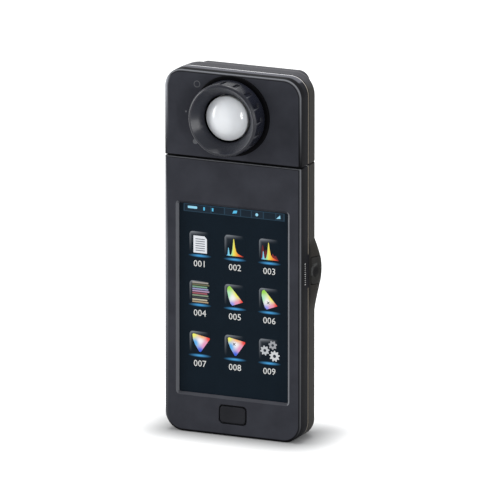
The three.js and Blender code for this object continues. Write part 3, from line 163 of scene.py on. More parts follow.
def tinted(tree: NodeTree, source: NodeSocket, low: Colour, high: Colour) -> NodeSocket:
    """A colour between two along a noise.

    Args:
        tree: The tree that gets the node.
        source: The noise's factor.
        low: The colour where the noise is low.
        high: The colour where the noise is high.

    Returns:
        The ramp's colour.
    """
    ramp = add_node(tree, "ValToRGB", {"Fac": source})
    for element, position, colour in zip(ramp.color_ramp.elements, RAMP_SPAN, (low, high)):
        element.position = position
        element.color = (*colour, 1.0)
    return ramp.outputs["Color"]


@dataclass(frozen=True)
class Finish:
    """A moulded, painted or metal surface with its grain, mottling and uneven gloss."""

    name: str
    colour: Colour
    roughness: float = 0.45
    metallic: float = 0.0
    specular: float = 0.5
    coat: float = 0.0
    grain: Grain = Grain.FINE
    bump: float = 0.12
    mottle: float = 0.12
    uneven: float = 0.05

    def material(self) -> Material:
        """The node material of this finish, made once and then kept.

        Returns:
            The material.
        """
        ready = bpy.data.materials.get(self.name)
        if ready is not None:
            return ready
        material = bpy.data.materials.new(self.name)
        tree, shader = shader_of(material)
        low = tuple(c * (1.0 - self.mottle) for c in self.colour)
        high = tuple(min(c * (1.0 + self.mottle), 1.0) for c in self.colour)
        base = tinted(tree, noise(tree, CLOUDS, CLOUD_DETAIL), low, high)
        speckle = noise(tree, self.grain.value, SPECKLE_DETAIL)
        bump = add_node(tree, "Bump", {"Strength": self.bump, "Distance": BUMP_HEIGHT, "Height": speckle})
        feed(tree, shader, {
            "Base Color": base,
            "Roughness": spread(tree, speckle, self.roughness - self.uneven, self.roughness + self.uneven),
            "Normal": bump.outputs["Normal"],
            "Metallic": self.metallic,
            "Specular IOR Level": self.specular,
            "Coat Weight": self.coat,
        })
        self.dress(tree, shader)
        return material

    def dress(self, tree: NodeTree, shader: Node) -> None:
        """Adds what a special finish has beyond the plain one; a plain finish adds nothing."""


@dataclass(frozen=True)
class Diffuser(Finish):
    """Opal plastic that light sinks into."""

    weight: float = 0.25
    radius: Colour = (1.0, 0.95, 0.9)
    depth: float = 2.5

    def dress(self, tree: NodeTree, shader: Node) -> None:
        """Lets light spread under the surface."""
        feed(tree, shader, {
            "Subsurface Weight": self.weight,
            "Subsurface Radius": self.radius,
            "Subsurface Scale": self.depth * METRES,
        })


@dataclass(frozen=True)
class Lit(Finish):
    """A glossy screen whose pixels glow in the colours of the piece's own colour attribute."""

    strength: float = 1.0

    def dress(self, tree: NodeTree, shader: Node) -> None:
        """Links the tint attribute to the emission."""
        tint = add_node(tree, "Attribute", {}, attribute_name="tint").outputs["Color"]
        feed(tree, shader, {"Emission Color": tint, "Emission Strength": self.strength})


@dataclass(frozen=True)
class PaintedLightFinish(Finish):
    """A finish that lays painted highlights, painted shade, painted sheen and a trim line from the piece's
    own colour attribute over its base.
    """

    polish: float = 0.14

    def dress(self, tree: NodeTree, shader: Node) -> None:
        """Lays the attribute's painted light and shade over the base where its alpha says so, and makes it
        glossier there.

        Args:
            tree: The material's tree.
            shader: Its main shader.
        """
        base, gloss = (shader.inputs[name].links[0].from_socket for name in ("Base Color", "Roughness"))
        # The colour attribute holds painted highlights, painted shade, painted sheen and the trim line.
        coat = add_node(tree, "Attribute", {}, attribute_name="painted_light").outputs
        over = {"Factor": coat["Alpha"], "A": base, "B": coat["Color"]}
        feed(tree, shader, {
            "Base Color": add_node(tree, "Mix", over, data_type="RGBA").outputs["Result"],
            "Roughness": math_of(tree, "MULTIPLY_ADD", coat["Alpha"], -self.polish, gloss),
        })


SCREEN_LOOK = {
    "colour": (0.006, 0.0115, 0.018), "roughness": 0.2, "specular": 0.03, "bump": 0.01, "mottle": 0.06,
    "uneven": 0.02,
}

FACE = PaintedLightFinish("moulded_face", (0.0405, 0.0418, 0.0505), roughness=0.5, specular=0.008, bump=0.08)
BACK = PaintedLightFinish(
    "moulded_back", (0.0225, 0.0205, 0.018), roughness=0.55, specular=0.07, grain=Grain.MEDIUM, bump=0.14
)
RING = PaintedLightFinish("ring_plastic", (0.0095, 0.0105, 0.0165), roughness=0.28, specular=0.28, bump=0.03, polish=0.0)
COLLAR = Finish("collar_plastic", (0.0025, 0.0025, 0.003), roughness=0.5, specular=0.02, bump=0.07)
KEY = Finish("key_plastic", (0.02, 0.0205, 0.024), roughness=0.45, specular=0.05, bump=0.08)
SIDE_KEY = PaintedLightFinish("side_key_plastic", (0.021, 0.0205, 0.0195), roughness=0.42, specular=0.06, bump=0.08)
RUBBER = Finish(
    "soft_rubber", (0.014, 0.0135, 0.013), roughness=0.72, specular=0.12, grain=Grain.MEDIUM, bump=0.2
)
OPAL = Diffuser(
    "opal_diffuser", (0.86, 0.875, 0.895), roughness=0.13, specular=0.5, bump=0.01, mottle=0.01, uneven=0.01
)
GLASS = Finish("screen_glass", **SCREEN_LOOK)
PIXELS = Lit("screen_pixels", **SCREEN_LOOK)
BOARD = Finish(
    "solder_mask", (0.012, 0.075, 0.032), roughness=0.38, coat=0.2, grain=Grain.COARSE, bump=0.2, mottle=0.2
)
STEEL = Finish("plated_steel", (0.52, 0.53, 0.55), roughness=0.3, metallic=1.0, bump=0.08, mottle=0.06)
BRASS = Finish("turned_brass", (0.58, 0.42, 0.19), roughness=0.32, metallic=1.0, bump=0.08, mottle=0.08)
ALUMINIUM = Finish("satin_aluminium", (0.5, 0.52, 0.55), roughness=0.4, metallic=1.0, bump=0.1, mottle=0.05)
INNER = Finish("inner_plastic", (0.018, 0.018, 0.019), roughness=0.6, grain=Grain.MEDIUM, bump=0.18)
SLEEVE = Finish(
    "cell_sleeve", (0.045, 0.16, 0.34), roughness=0.28, coat=0.4, grain=Grain.COARSE, bump=0.05, mottle=0.08
)
PRINT = Finish("white_print", (0.5, 0.5, 0.49), roughness=0.5, bump=0.1, mottle=0.1)
DIM_PRINT = Finish("dark_print", (0.066, 0.069, 0.078), roughness=0.5, bump=0.1, mottle=0.1)

SLOT_FINISHES: dict[str, Finish] = {
    "casing": FACE,
    "rear_casing": BACK,
    "ring": RING,
    "key": KEY,
    "diffuser": OPAL,
    "glass": GLASS,
    "board": BOARD,
    "steel": STEEL,
    "brass": BRASS,
    "aluminium": ALUMINIUM,
    "inner_plastic": INNER,
    "rubber": RUBBER,
    "cell": SLEEVE,
}


# Modelling

BEVEL_ANGLE = 50.0


@dataclass(frozen=True)
class Section:
    """A rounded rectangle square to Y, with its own radius for the low and the high corners."""

    half_width: float
    bottom: float
    top: float
    low_radius: float
    high_radius: float
    y: float
    x: float = 0.0

    def carried(self, other: "Section", point: Vector) -> Vector:
        """Where a point of this section comes to lie on another section.

        Args:
            other: The section that the point goes to.
            point: A point of this section's outline.

        Returns:
            The point on the other section.
        """
        high = point.z > (self.bottom + self.top) / 2
        before = self.high_radius if high else self.low_radius
        after = other.high_radius if high else other.low_radius
        x = carried_along(point.x - self.x, self.half_width, before, other.half_width, after)
        edge = self.top - before if high else self.bottom + before
        other_edge = other.top - after if high else other.bottom + after
        beyond = point.z - edge
        outside = beyond >= 0 if high else beyond <= 0
        share = (point.z - self.bottom - self.low_radius) / max(
            self.top - self.high_radius - self.bottom - self.low_radius, 1e-9
        )
        low_edge = other.bottom + other.low_radius
        inner = low_edge + share * (other.top - other.high_radius - low_edge)
        z = other_edge + beyond * after / before if outside else inner
        return Vector((x + other.x, other.y, z))

    def grown(self, by: float, y: float) -> "Section":
        """The same outline grown on all sides, its corners too, and placed at another Y."""
        return Section(
            self.half_width + by, self.bottom - by, self.top + by, self.low_radius + by,
            self.high_radius + by, y, self.x,
        )


def rounded(half_width: float, half_height: float, radius: float) -> Section:
    """A rounded rectangle around the origin."""
    return Section(half_width, -half_height, half_height, radius, radius, 0.0)


def carried_along(x: float, half: float, radius: float, other_half: float, other_radius: float) -> float:
    """One coordinate of a symmetric rounded outline, carried to another such outline.

    Args:
        x: The coordinate, from the middle.
        half: Half the width of the outline.
        radius: The radius of its corners.
        other_half: Half the width of the other outline.
        other_radius: The radius of its corners.

    Returns:
        The coordinate on the other outline.
    """
    straight, other_straight = half - radius, other_half - other_radius
    if abs(x) >= straight:
        return math.copysign(other_straight + (abs(x) - straight) * other_radius / radius, x)
    return x * other_straight / straight


def flat_outline(mesh: BMesh, section: Section, low_steps: int, high_steps: int) -> BMFace:
    """A flat face with the outline of a section.

    Args:
        mesh: The mesh that gets the face.
        section: The outline.
        low_steps: Segments of each low corner.
        high_steps: Segments of each high corner.

    Returns:
        The face.
    """
    made = bmesh.ops.create_grid(mesh, x_segments=1, y_segments=1, size=1.0)["verts"]
    face = made[0].link_faces[0]
    height = (section.top - section.bottom) / 2
    middle = section.bottom + height
    turned(mesh, QUARTER, "X")
    bmesh.ops.scale(mesh, verts=made, vec=(section.half_width, 1.0, height))
    bmesh.ops.translate(mesh, verts=made, vec=(section.x, section.y, middle))
    low, high = (False, section.low_radius, low_steps), (True, section.high_radius, high_steps)
    for upper, radius, steps in (low, high):
        corners = [v for v in face.verts if (v.co.z > middle) == upper and v in made]
        out = bmesh.ops.bevel(
            mesh, geom=corners, offset=radius, offset_type="OFFSET", segments=steps, profile=0.5,
            affect="VERTICES", material=-1,
        )
        face = max((f for v in out["verts"] for f in v.link_faces), key=BMFace.calc_area)
        made = list(face.verts)
    return face


def new_part(out: dict[str, list], kind: type) -> list:
    """The elements of one kind in an operator's result."""
    return [e for e in out["geom"] if isinstance(e, kind)]


def drawn_on(mesh: BMesh, ring: list[BMEdge], move: Callable[[Vector], Vector]) -> list[BMEdge]:
    """Extrudes a ring of edges once and moves the new ring.

    Args:
        mesh: The mesh.
        ring: The edges of the open ring.
        move: Gives the new place of a point of the ring.

    Returns:
        The edges of the new ring.
    """
    out = bmesh.ops.extrude_edge_only(mesh, edges=ring)
    fresh = set(new_part(out, BMVert))
    for vert in fresh:
        vert.co = move(vert.co)
    return [e for e in new_part(out, BMEdge) if e.verts[0] in fresh and e.verts[1] in fresh]


def lofted(sections: Sequence[Section], low_steps: int = 12, high_steps: int = 12) -> BMesh:
    """A closed solid through sections, from the first one's face to the last one's.

    Args:
        sections: The outlines in order.
        low_steps: Segments of each low corner.
        high_steps: Segments of each high corner.

    Returns:
        The solid as a new mesh.
    """
    mesh = bmesh.new()
    face = flat_outline(mesh, sections[0], low_steps, high_steps)
    ring = list(face.edges)
    for before, after in pairwise(sections):
        ring = drawn_on(mesh, ring, lambda point: before.carried(after, point))
    bmesh.ops.contextual_create(mesh, geom=ring)
    return outward(mesh)


def spun(profile: Sequence[Pair], steps: int, closed: bool = False) -> BMesh:
    """A profile of [radius, height] pairs turned about Y, with height counted out of the front face.

    Args:
        profile: The points of the profile.
        steps: Segments of the full turn.
        closed: Whether the profile's last point joins its first.

    Returns:
        The turned solid as a new mesh.
    """
    mesh = bmesh.new()
    verts = [bmesh.ops.create_vert(mesh, co=(radius, -height, 0.0))["vert"][0] for radius, height in profile]
    pairs = list(pairwise(verts)) + ([(verts[-1], verts[0])] if closed else [])
    edges = [mesh.edges.new(pair) for pair in pairs]
    bmesh.ops.spin(
        mesh, geom=verts + edges, cent=(0, 0, 0), axis=(0, 1, 0), dvec=(0, 0, 0), angle=2 * math.pi,
        steps=steps, use_merge=True, use_duplicate=False,
    )
    bmesh.ops.remove_doubles(mesh, verts=mesh.verts, dist=1e-4)
    return outward(mesh)


def block(low: Sequence[float], high: Sequence[float], rounding: float = 0.0) -> BMesh:
    """A box between two corners, with its edges rounded if a rounding is given.

    Args:
        low: The lowest corner.
        high: The highest corner.
        rounding: The radius of its edges.

    Returns:
        The box as a new mesh.
    """
    mesh = bmesh.new()
    bmesh.ops.create_cube(mesh, size=1.0)
    spans = [b - a for a, b in zip(low, high)]
    middle = [(a + b) / 2 for a, b in zip(low, high)]
    bmesh.ops.scale(mesh, verts=mesh.verts, vec=spans)
    bmesh.ops.translate(mesh, verts=mesh.verts, vec=middle)
    if rounding > 0:
        bmesh.ops.bevel(
            mesh, geom=list(mesh.edges), offset=rounding, offset_type="OFFSET", segments=4, profile=0.5,
            affect="EDGES", material=-1,
        )
    return mesh


def turned(mesh: BMesh, angle: float, axis: str) -> BMesh:
    """The same mesh, turned about an axis through the origin."""
    bmesh.ops.rotate(mesh, verts=mesh.verts, cent=(0, 0, 0), matrix=Matrix.Rotation(angle, 3, axis))
    return mesh


def outward(mesh: BMesh) -> BMesh:
    """The same mesh, with its faces pointing outwards."""
    bmesh.ops.recalc_face_normals(mesh, faces=mesh.faces)
    return mesh


def moved(mesh: BMesh, x: float = 0.0, y: float = 0.0, z: float = 0.0) -> BMesh:
    """The same mesh, moved."""
    bmesh.ops.translate(mesh, verts=mesh.verts, vec=(x, y, z))
    return mesh


def everything(mesh: BMesh) -> list:
    """All the points, edges and faces of a mesh."""
    return [*mesh.verts, *mesh.edges, *mesh.faces]


def sliced(mesh: BMesh, axis: int, places: Iterable[float]) -> BMesh:
    """Cuts the faces of a mesh by planes, so that they have points to move.

    Args:
        mesh: The mesh.
        axis: 0, 1 or 2 for planes square to X, Y or Z.
        places: Where the planes are along the axis.

    Returns:
        The same mesh.
    """
    normal = Vector((0, 0, 0))
    normal[axis] = 1.0
    for place in places:
        bmesh.ops.bisect_plane(
            mesh, geom=everything(mesh), dist=1e-5, plane_co=normal * place, plane_no=normal,
        )
    return mesh


def trimmed(mesh: BMesh, height: float, side: int) -> BMesh:
    """Cuts away what lies above or below a height and closes the cut.

    Args:
        mesh: A closed mesh.
        height: The Z of the cut.
        side: 1 to cut away what lies above, -1 for what lies below.

    Returns:
        The same mesh.
    """
    out = bmesh.ops.bisect_plane(
        mesh, geom=everything(mesh), dist=1e-5, plane_co=(0, 0, height), plane_no=(0, 0, side),
        clear_outer=True,
    )
    rim = [e for e in out["geom_cut"] if isinstance(e, BMEdge)]
    bmesh.ops.holes_fill(mesh, edges=rim, sides=0)
    return outward(mesh)


def linked(name: str, data: ID) -> Object:
    """A new object, in the scene.

    Args:
        name: Its name.
        data: Its data.

    Returns:
        The object.
    """
    made = bpy.data.objects.new(name, data)
    bpy.context.collection.objects.link(made)
    return made


def poured(mesh: BMesh, name: str) -> Mesh:
    """Pours a bmesh into mesh data.

    Args:
        mesh: The bmesh, which is freed.
        name: The name of the data.

    Returns:
        The mesh data.
    """
    data = bpy.data.meshes.new(name)
    mesh.to_mesh(data)
    mesh.free()
    return data


def joined(parts: Iterable[BMesh]) -> BMesh:
    """Several meshes as one.

    Args:
        parts: The meshes, which are freed.

    Returns:
        The one mesh.
    """
    whole = bmesh.new()
    for part in parts:
        data = poured(part, "part")
        whole.from_mesh(data)
        bpy.data.meshes.remove(data)
    return whole


class Joining(Enum):
    """How one solid changes another."""

    CUT = "DIFFERENCE"
    ADD = "UNION"
    KEEP = "INTERSECT"


def worked(base: BMesh, steps: Sequence[tuple[Joining, BMesh]]) -> BMesh:
    """A solid after others have been cut from it, added to it or laid over it.

    Args:
        base: The solid that is worked on.
        steps: What is done to it, in order.

    Returns:
        The worked solid as a new mesh.
    """
    result = base
    for joining, tool in steps:
        pair = [linked("solid", poured(mesh, "solid")) for mesh in (result, tool)]
        change = pair[0].modifiers.new("change", "BOOLEAN")
        change.operation = joining.value
        change.solver = "EXACT"
        change.object = pair[1]
        depsgraph = bpy.context.evaluated_depsgraph_get()
        data = bpy.data.meshes.new_from_object(pair[0].evaluated_get(depsgraph))
        result = bmesh.new()
        result.from_mesh(data)
        bmesh.ops.remove_doubles(result, verts=result.verts, dist=1e-3)
        bmesh.ops.dissolve_degenerate(result, dist=1e-3, edges=result.edges)
        for used in pair:
            old = used.data
            bpy.data.objects.remove(used)
            bpy.data.meshes.remove(old)
        bpy.data.meshes.remove(data)
    return result


def painted(mesh: BMesh, name: str, paint: ToneAt) -> None:
    """Gives a mesh a colour attribute.

    Args:
        mesh: The mesh.
        name: The attribute's name.
        paint: Gives its value at a point.
    """
    layer = mesh.loops.layers.float_color.new(name)
    for face in mesh.faces:
        for loop in face.loops:
            loop[layer] = paint(loop.vert.co)


def placed(
    mesh: BMesh,
    name: str,
    body: str,
    finish: Finish,
    stands_for: Sequence[str] = (),
    sharp: float = 32.0,
    rounding: float = 0.0,
    painted_light: ToneAt | None = None,
) -> None:
    """Makes a finished piece of a mesh in millimetres and gives it to its body.

    Args:
        mesh: The mesh, which is freed.
        name: The piece's name.
        body: The CAD body that it rides on.
        finish: Its finish.
        stands_for: The CAD nodes that it replaces.
        sharp: The angle from which its edges stay sharp, in degrees.
        rounding: The radius of its edges.
        painted_light: Gives the painted highlight, painted shade or painted sheen that lies over the finish
            at a point, and how densely.
    """
    # Painted highlights, painted shade and painted sheen go on as a colour attribute.
    if painted_light is not None:
        painted(mesh, "painted_light", painted_light)
    bmesh.ops.scale(mesh, vec=(METRES,) * 3, verts=mesh.verts)
    data = poured(mesh, name)
    piece = linked(name, data)
    data.materials.append(finish.material())
    data.shade_smooth()
    data.set_sharp_from_angle(angle=math.radians(sharp))
    if rounding > 0:
        bevel = piece.modifiers.new("edges", "BEVEL")
        bevel.width = rounding * METRES
        bevel.segments = 2
        bevel.limit_method = "ANGLE"
        bevel.angle_limit = math.radians(BEVEL_ANGLE)
        bevel.use_clamp_overlap = True
    weighted = piece.modifiers.new("normals", "WEIGHTED_NORMAL")
    weighted.keep_sharp = True
    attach(piece, body)
    if stands_for:
        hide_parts(*stands_for)
    log.info("%s: %d faces on %s", name, len(data.polygons), body)


def faced_back(mesh: BMesh, y: float, z: float, x: float = 0.0) -> BMesh:
    """The same mesh, turned from the front to the back and put on a surface at a Y."""
    return moved(turned(mesh, math.pi, "Z"), x, y, z)


def round_hole(radius: float, depth: float, rounding: float = 0.25, steps: int = 64) -> BMesh:
    """A round cutter about Y, from 1 mm outside the front face to a depth, with a rounded-over mouth."""
    mouth = [(radius + rounding * (1 - cos), rounding * (sin - 1)) for cos, sin in quarter(4)]
    return spun([(0.0, -depth), (radius, -depth), *mouth, (radius + rounding, 1.0), (0.0, 1.0)], steps)


def window(half_width: float, half_height: float, radius: float, depth: float, rounding: float) -> BMesh:
    """A rounded cutter square to the front face, from 1 mm outside to a depth, with a rounded-over mouth.

    Args:
        half_width: Half its width.
        half_height: Half its height.
        radius: The radius of its corners.
        depth: How deep it goes.
        rounding: The radius of the rounded mouth.

    Returns:
        The cutter, around the origin, which lies on the surface.
    """
    outline = rounded(half_width, half_height, radius)
    path = [outline.grown(rounding, -1.0)]
    path += [outline.grown(rounding * (1 - sin), rounding * (1 - cos)) for cos, sin in quarter(4)]
    path.append(outline.grown(0.0, depth))
    return lofted(path, 8, 8)


def pad(
    half_width: float,
    half_height: float,
    radius: float,
    length: float,
    rounding: float,
    crown: Callable[[float, float], float] | None = None,
    slices: int = 0,
) -> BMesh:
    """A key top square to the front face: a rounded prism with a rounded-over front edge.

    Args:
        half_width: Half its width.
        half_height: Half its height.
        radius: The radius of its corners.
        length: How far it reaches back from its front.
        rounding: The radius of the front edge.
        crown: Gives how far the front stands out at (x, z), if it isn't flat.
        slices: Cuts across the front in each direction, for a curved crown.

    Returns:
        The pad, around the origin, which lies on its front.
    """
    outline = rounded(half_width, half_height, radius)
    mesh = bmesh.new()
    current = outline.grown(-rounding, 0.0)
    face = flat_outline(mesh, current, 8, 8)
    if slices:
        reach, tall = half_width - radius, half_height - radius
        sliced(mesh, 0, evenly(-reach, reach, slices))
        sliced(mesh, 2, evenly(-tall, tall, max(int(slices * half_height / half_width), 2)))
    ring = [e for e in mesh.edges if e.is_boundary] if slices else list(face.edges)
    for cos, sin in quarter(5)[1:]:
        after = outline.grown(rounding * (sin - 1), rounding * (1 - cos))
        ring = drawn_on(mesh, ring, partial(current.carried, after))
        current = after
    if crown is not None:
        for vert in mesh.verts:
            vert.co.y -= crown(vert.co.x, vert.co.z)
    ring = drawn_on(mesh, ring, lambda point: Vector((point.x, length, point.z)))
    bmesh.ops.contextual_create(mesh, geom=ring)
    return outward(mesh)


# The case


@dataclass
class Case:
    """The form of the case and its tones, with their painted highlights, painted shade and painted sheen,
    for the body's part of it or the head's.
    """

    head: bool = False
    width: float = 73.0
    height: float = 183.0
    depth: float = 27.0
    split: float = 139.0
    split_gap: float = 0.25
    corner: float = 9.5
    low_corner: float = 0.5
    front_depth: float = 9.5
    parting: float = 0.3
    front_edge: float = 1.5
    split_edge_share: float = 0.55
    edge_glow: float = 1.0
    front_chamfer: float = 0.2
    rear_chamfer: float = 0.25
    chamfer_step: Pair = (0.08, 0.07)
    wall: float = 1.9
    plate: float = 1.6
    side_cuts: tuple[float, ...] = (10.6, 11.5, 12.4, 13.3, 14.2, 15.1)
    shoulder_start: float = 16.0
    shoulder_end: float = 22.5
    side_inset: float = 6.8
    top_inset: float = 1.3
    deck_corner: float = 5.6
    back_corner: float = 10.9
    deck_edge: float = 1.0
    gap: float = 0.3
    lip_outset: float = 0.9
    lip_length: float = 1.0
    lip_width: float = 0.9
    swell_bottom: float = 63.0
    swell_top: float = 100.5
    swell_crest: float = 3.8
    swell_end: float = 23.0
    swell_lean: float = 1.42
    receptor_z: float = 162.2
    screw_x: float = 25.4
    body_screws: Pair = (8.0, 127.55)
    head_screws: Pair = (151.0, 172.0)
    # The dark band behind the front edge is painted shade.
    dark_band: Pair = (2.6, 3.6)
    trim: Pair = (0.95, 0.9)
    trim_break: Pair = (77.3, 94.1)
    # Painted light: the highlight colour of the front edge and the screen bevel, the trim line's colour
    # (partly its own light tone, partly painted highlight, near white as painted highlight on top), the
    # painted sheen on the tops of both shells, and the painted shade colour.
    edge_highlight_colour: Colour = (0.19, 0.195, 0.21)
    trim_and_highlight_colour: Colour = (0.19, 0.165, 0.13)
    top_sheen_colour: Colour = (0.13, 0.13, 0.145)
    top_trim_highlight_colour: Colour = (0.72, 0.72, 0.74)
    rear_top_sheen_colour: Colour = (0.042, 0.042, 0.05)
    shade: Colour = (0.006, 0.006, 0.0068)
    # How densely the painted shade and painted sheen lie: shade behind the edge and on the sides, sheen on
    # the tops, shade along the rear shell's front edge.
    side_facing: float = 0.7
    band_density: float = 0.92
    side_density: float = 0.82
    top_sheen_density: float = 0.75
    rear_top_sheen_density: float = 0.9
    rear_density: float = 0.85

    @property
    def half(self) -> float:
        """Half the width."""
        return self.width / 2

    @property
    def rear_start(self) -> float:
        """The depth at which the rear shells start."""
        return self.front_depth + self.parting

    def y(self, depth: float) -> float:
        """The Y of a depth."""
        return depth - self.depth / 2

    def depth_of(self, y: float) -> float:
        """The depth of a Y."""
        return y + self.depth / 2

    def shoulder_share(self, depth: float) -> float:
        """How far a depth lies along the shoulder."""
        return clamped((depth - self.shoulder_start) / (self.shoulder_end - self.shoulder_start))

    def half_at(self, depth: float) -> float:
        """Half the width at a depth."""
        return self.half - self.side_inset * self.shoulder_share(depth) ** 2

    def swell(self, depth: float, z: float) -> float:
        """How far the swell on the right stands out at a point of the side.

        Args:
            depth: The depth of the point.
            z: The height of the point.

        Returns:
            The distance, 0 outside the swell.
        """
        share = (z - self.swell_bottom) / (self.swell_top - self.swell_bottom)
        across = (depth - self.rear_start) / (self.swell_end - self.rear_start)
        if not (0 < share < 1 and 0 < across < 1):
            return 0.0
        along = math.sin(math.pi * share**self.swell_lean)
        return self.swell_crest * along * math.sin(math.pi * across)

    def section(self, depth: float, inset: float = 0.0, at: float | None = None) -> Section:
        """The outline of the body or the head at a depth.

        Args:
            depth: The depth whose outline it is.
            inset: How far inside the surface it lies.
            at: The depth at which it is placed, if another.

        Returns:
            The section.
        """
        drawn = self.shoulder_share(depth) ** 2
        corner = self.corner
        if self.head:
            back = (depth - self.rear_start) / (self.shoulder_start - self.rear_start)
            corner += (self.back_corner - corner) * clamped(back)
        round_radius = max(corner + (self.deck_corner - corner) * drawn - inset, self.low_corner)
        bottom = self.split + self.split_gap if self.head else 0.0
        top = self.height - self.top_inset * drawn if self.head else self.split - self.split_gap
        return Section(
            half_width=self.half_at(depth) - inset,
            bottom=bottom + inset,
            top=top - inset,
            low_radius=self.low_corner if self.head else round_radius,
            high_radius=round_radius if self.head else self.low_corner,
            y=self.y(depth if at is None else at),
        )

    def offset(self, surface: float, inset: float) -> Section:
        """The outline of the form an inset inside the rear, which moves forwards along the shoulder."""
        return self.section(surface, inset, surface - inset * self.shoulder_share(surface))

    def rim_place(self, x: float, z: float) -> Pair:
        """Where a point lies beside the outline of the front face.

        Args:
            x: The X of the point.
            z: The height of the point.

        Returns:
            The distance inside the outline, and how far its side faces sideways, from 0 to 1.
        """
        outline = self.section(0.0)
        high = z > (outline.bottom + outline.top) / 2
        radius = outline.high_radius if high else outline.low_radius
        side = abs(x) - (outline.half_width - radius)
        rise = z - (outline.top - radius) if high else outline.bottom + radius - z
        if side > 0 and rise > 0:
            reach = math.hypot(side, rise)
            return radius - reach, side / reach
        to_side, to_end = outline.half_width - abs(x), min(outline.top - z, z - outline.bottom)
        return min(to_side, to_end), float(to_side < to_end)

    def edge_tone(self, turn: float, lit: float, left: float) -> Tone:
        """The tone of the rounded front edge: a painted highlight line between two painted shade lines, or a
        painted highlight along the left edge.

        Args:
            turn: Where it is, from 0 at the face to 1 at the side.
            lit: How much of the painted highlight shows.
            left: How far it is the edge of the left side, from 0 to 1.

        Returns:
            The colour and its density.
        """
        middle, line_reach, onset = 0.5, 0.3, 0.16
        left_least, left_onset, dimmest, brightest = 0.7, 0.2, 0.25, 2.0
        # Painted highlight in the middle of the rounding with painted shade on either side; on the left the
        # painted highlight runs out to the side.
        line = max(1 - abs(turn - middle) / line_reach, 0.0) * lit
        density = min(turn / onset, 1.0)
        glow = (left_least + (1 - left_least) * min(turn / left_onset, 1.0)) * lit**0.5
        level = dimmest + (brightest - dimmest) * lit
        tones = (
            (dark + (bright - dark) * line) * (1 - left) + bright * level * left
            for dark, bright in zip(self.shade, self.edge_highlight_colour)
        )
        return (*tones, density * (1 - left) + glow * left)

    def front_tone(self, point: Vector) -> Tone:
        """The painted highlight on the front edge, the painted shade behind it and on the side, the painted
        sheen on the top and the trim line of a front shell.

        Args:
            point: A point of the shell.

        Returns:
            The colour there and its density.
        """
        near, tight, top_start = 0.1, 0.01, 20.0
        base_rise, fade_length, trim_rise = 1.0, 2.0 if self.head else 14.0, 0.3
        least, left_drop = 0.55, 0.3
        above = point.z - (self.split + self.split_gap if self.head else 0.0)
        depth = self.depth_of(point.y)
        inset, sideways = self.rim_place(point.x, point.z)
        left = clamped((sideways - self.side_facing) / (1 - self.side_facing)) if point.x < 0 else 0.0
        # On the rounded front edge: painted highlight, stronger higher up and faded out towards the
        # downward-facing bottom edges.
        if depth < self.front_edge - tight and inset < self.front_edge + 2 * tight:
            turn = math.acos(max(1 - depth / self.front_edge, 0.0)) / QUARTER
            least -= left_drop * left
            share = least + (1 - least) * point.z / self.height
            return self.edge_tone(turn, clamped((above - base_rise) / fade_length) * share, left)
        if inset >= near:
            return (*self.shade, 0.0)
        # The trim line at the parting, broken beside the measuring button, with a near-white painted
        # highlight where it runs over the top.
        broken = not self.head and point.x > 0 and self.trim_break[0] < point.z < self.trim_break[1]
        if depth > self.front_depth - self.trim[1] - tight and above > trim_rise and not broken:
            pairs = zip(self.trim_and_highlight_colour, self.top_trim_highlight_colour)
            return (*(beside * sideways + over * (1 - sideways) for beside, over in pairs), 1.0)
        # Painted shade in a band behind the front edge.
        if depth < self.front_edge + self.dark_band[0] + near:
            return (*self.shade, self.band_density)
        # Painted shade on the sides.
        if sideways > self.side_facing:
            return (*self.shade, self.side_density * sideways)
        # Painted sheen on the top of the head.
        if point.z > self.split + top_start:
            return (*self.top_sheen_colour, self.top_sheen_density)
        return (*self.shade, 0.0)

    def rear_tone(self, point: Vector) -> Tone:
        """The painted shade along the front edge of a rear shell, and the painted sheen along the top of the
        head.

        Args:
            point: A point of the shell.

        Returns:
            The colour there and its density.
        """
        top_band, top_fade, rim, shade_length, shade_reach = 7.0, 5.0, 0.3, 1.6, 2.0
        depth = self.depth_of(point.y)
        high = clamped((point.z - self.height + top_band) / top_fade)
        # Painted sheen along the top.
        if high > 0 and self.rear_start + rim < depth < self.depth - 0.5 * self.deck_edge:
            return (*self.rear_top_sheen_colour, self.rear_top_sheen_density * high)
        # Painted shade fading back from the parting line.
        away = (depth - self.rear_start - rim) / shade_length
        shown = depth < self.depth / 2 + shade_reach
        return (*self.shade, min(max(self.rear_density - away, 0.0), self.rear_density) * shown)

    def eased(self, section: Section, inset: float) -> Section:
        """The same outline, drawn in less at the split, whose edges are rounded less.

        Args:
            section: An outline of the rounded front edge.
            inset: How far it is drawn in.

        Returns:
            The outline for that edge.
        """
        back = inset * (1 - self.split_edge_share)
        if self.head:
            return replace(section, bottom=section.bottom - back)
        return replace(section, top=section.top + back)

    def through(self, path: Sequence[Section]) -> BMesh:
        """A solid through outlines of the body or the head, fine at the round corners."""
        round_steps, split_steps = 16, 3
        return lofted(path, *((split_steps, round_steps) if self.head else (round_steps, split_steps)))

    def front_solid(self) -> BMesh:
        """The front shell without its openings, with the lip that closes the parting line from inside.

        Returns:
            The shell as a closed mesh.
        """
        edge, end = self.front_edge, self.front_depth
        # A ring inside the edge, where the painted highlight along the left edge fades out.
        rounding = [(0.0, edge + self.edge_glow)]
        rounding += [(edge * (1 - cos), edge * (1 - sin)) for cos, sin in quarter(6)]
        step, step_inset = self.chamfer_step
        path = [self.eased(self.section(depth, inset), inset) for depth, inset in rounding]
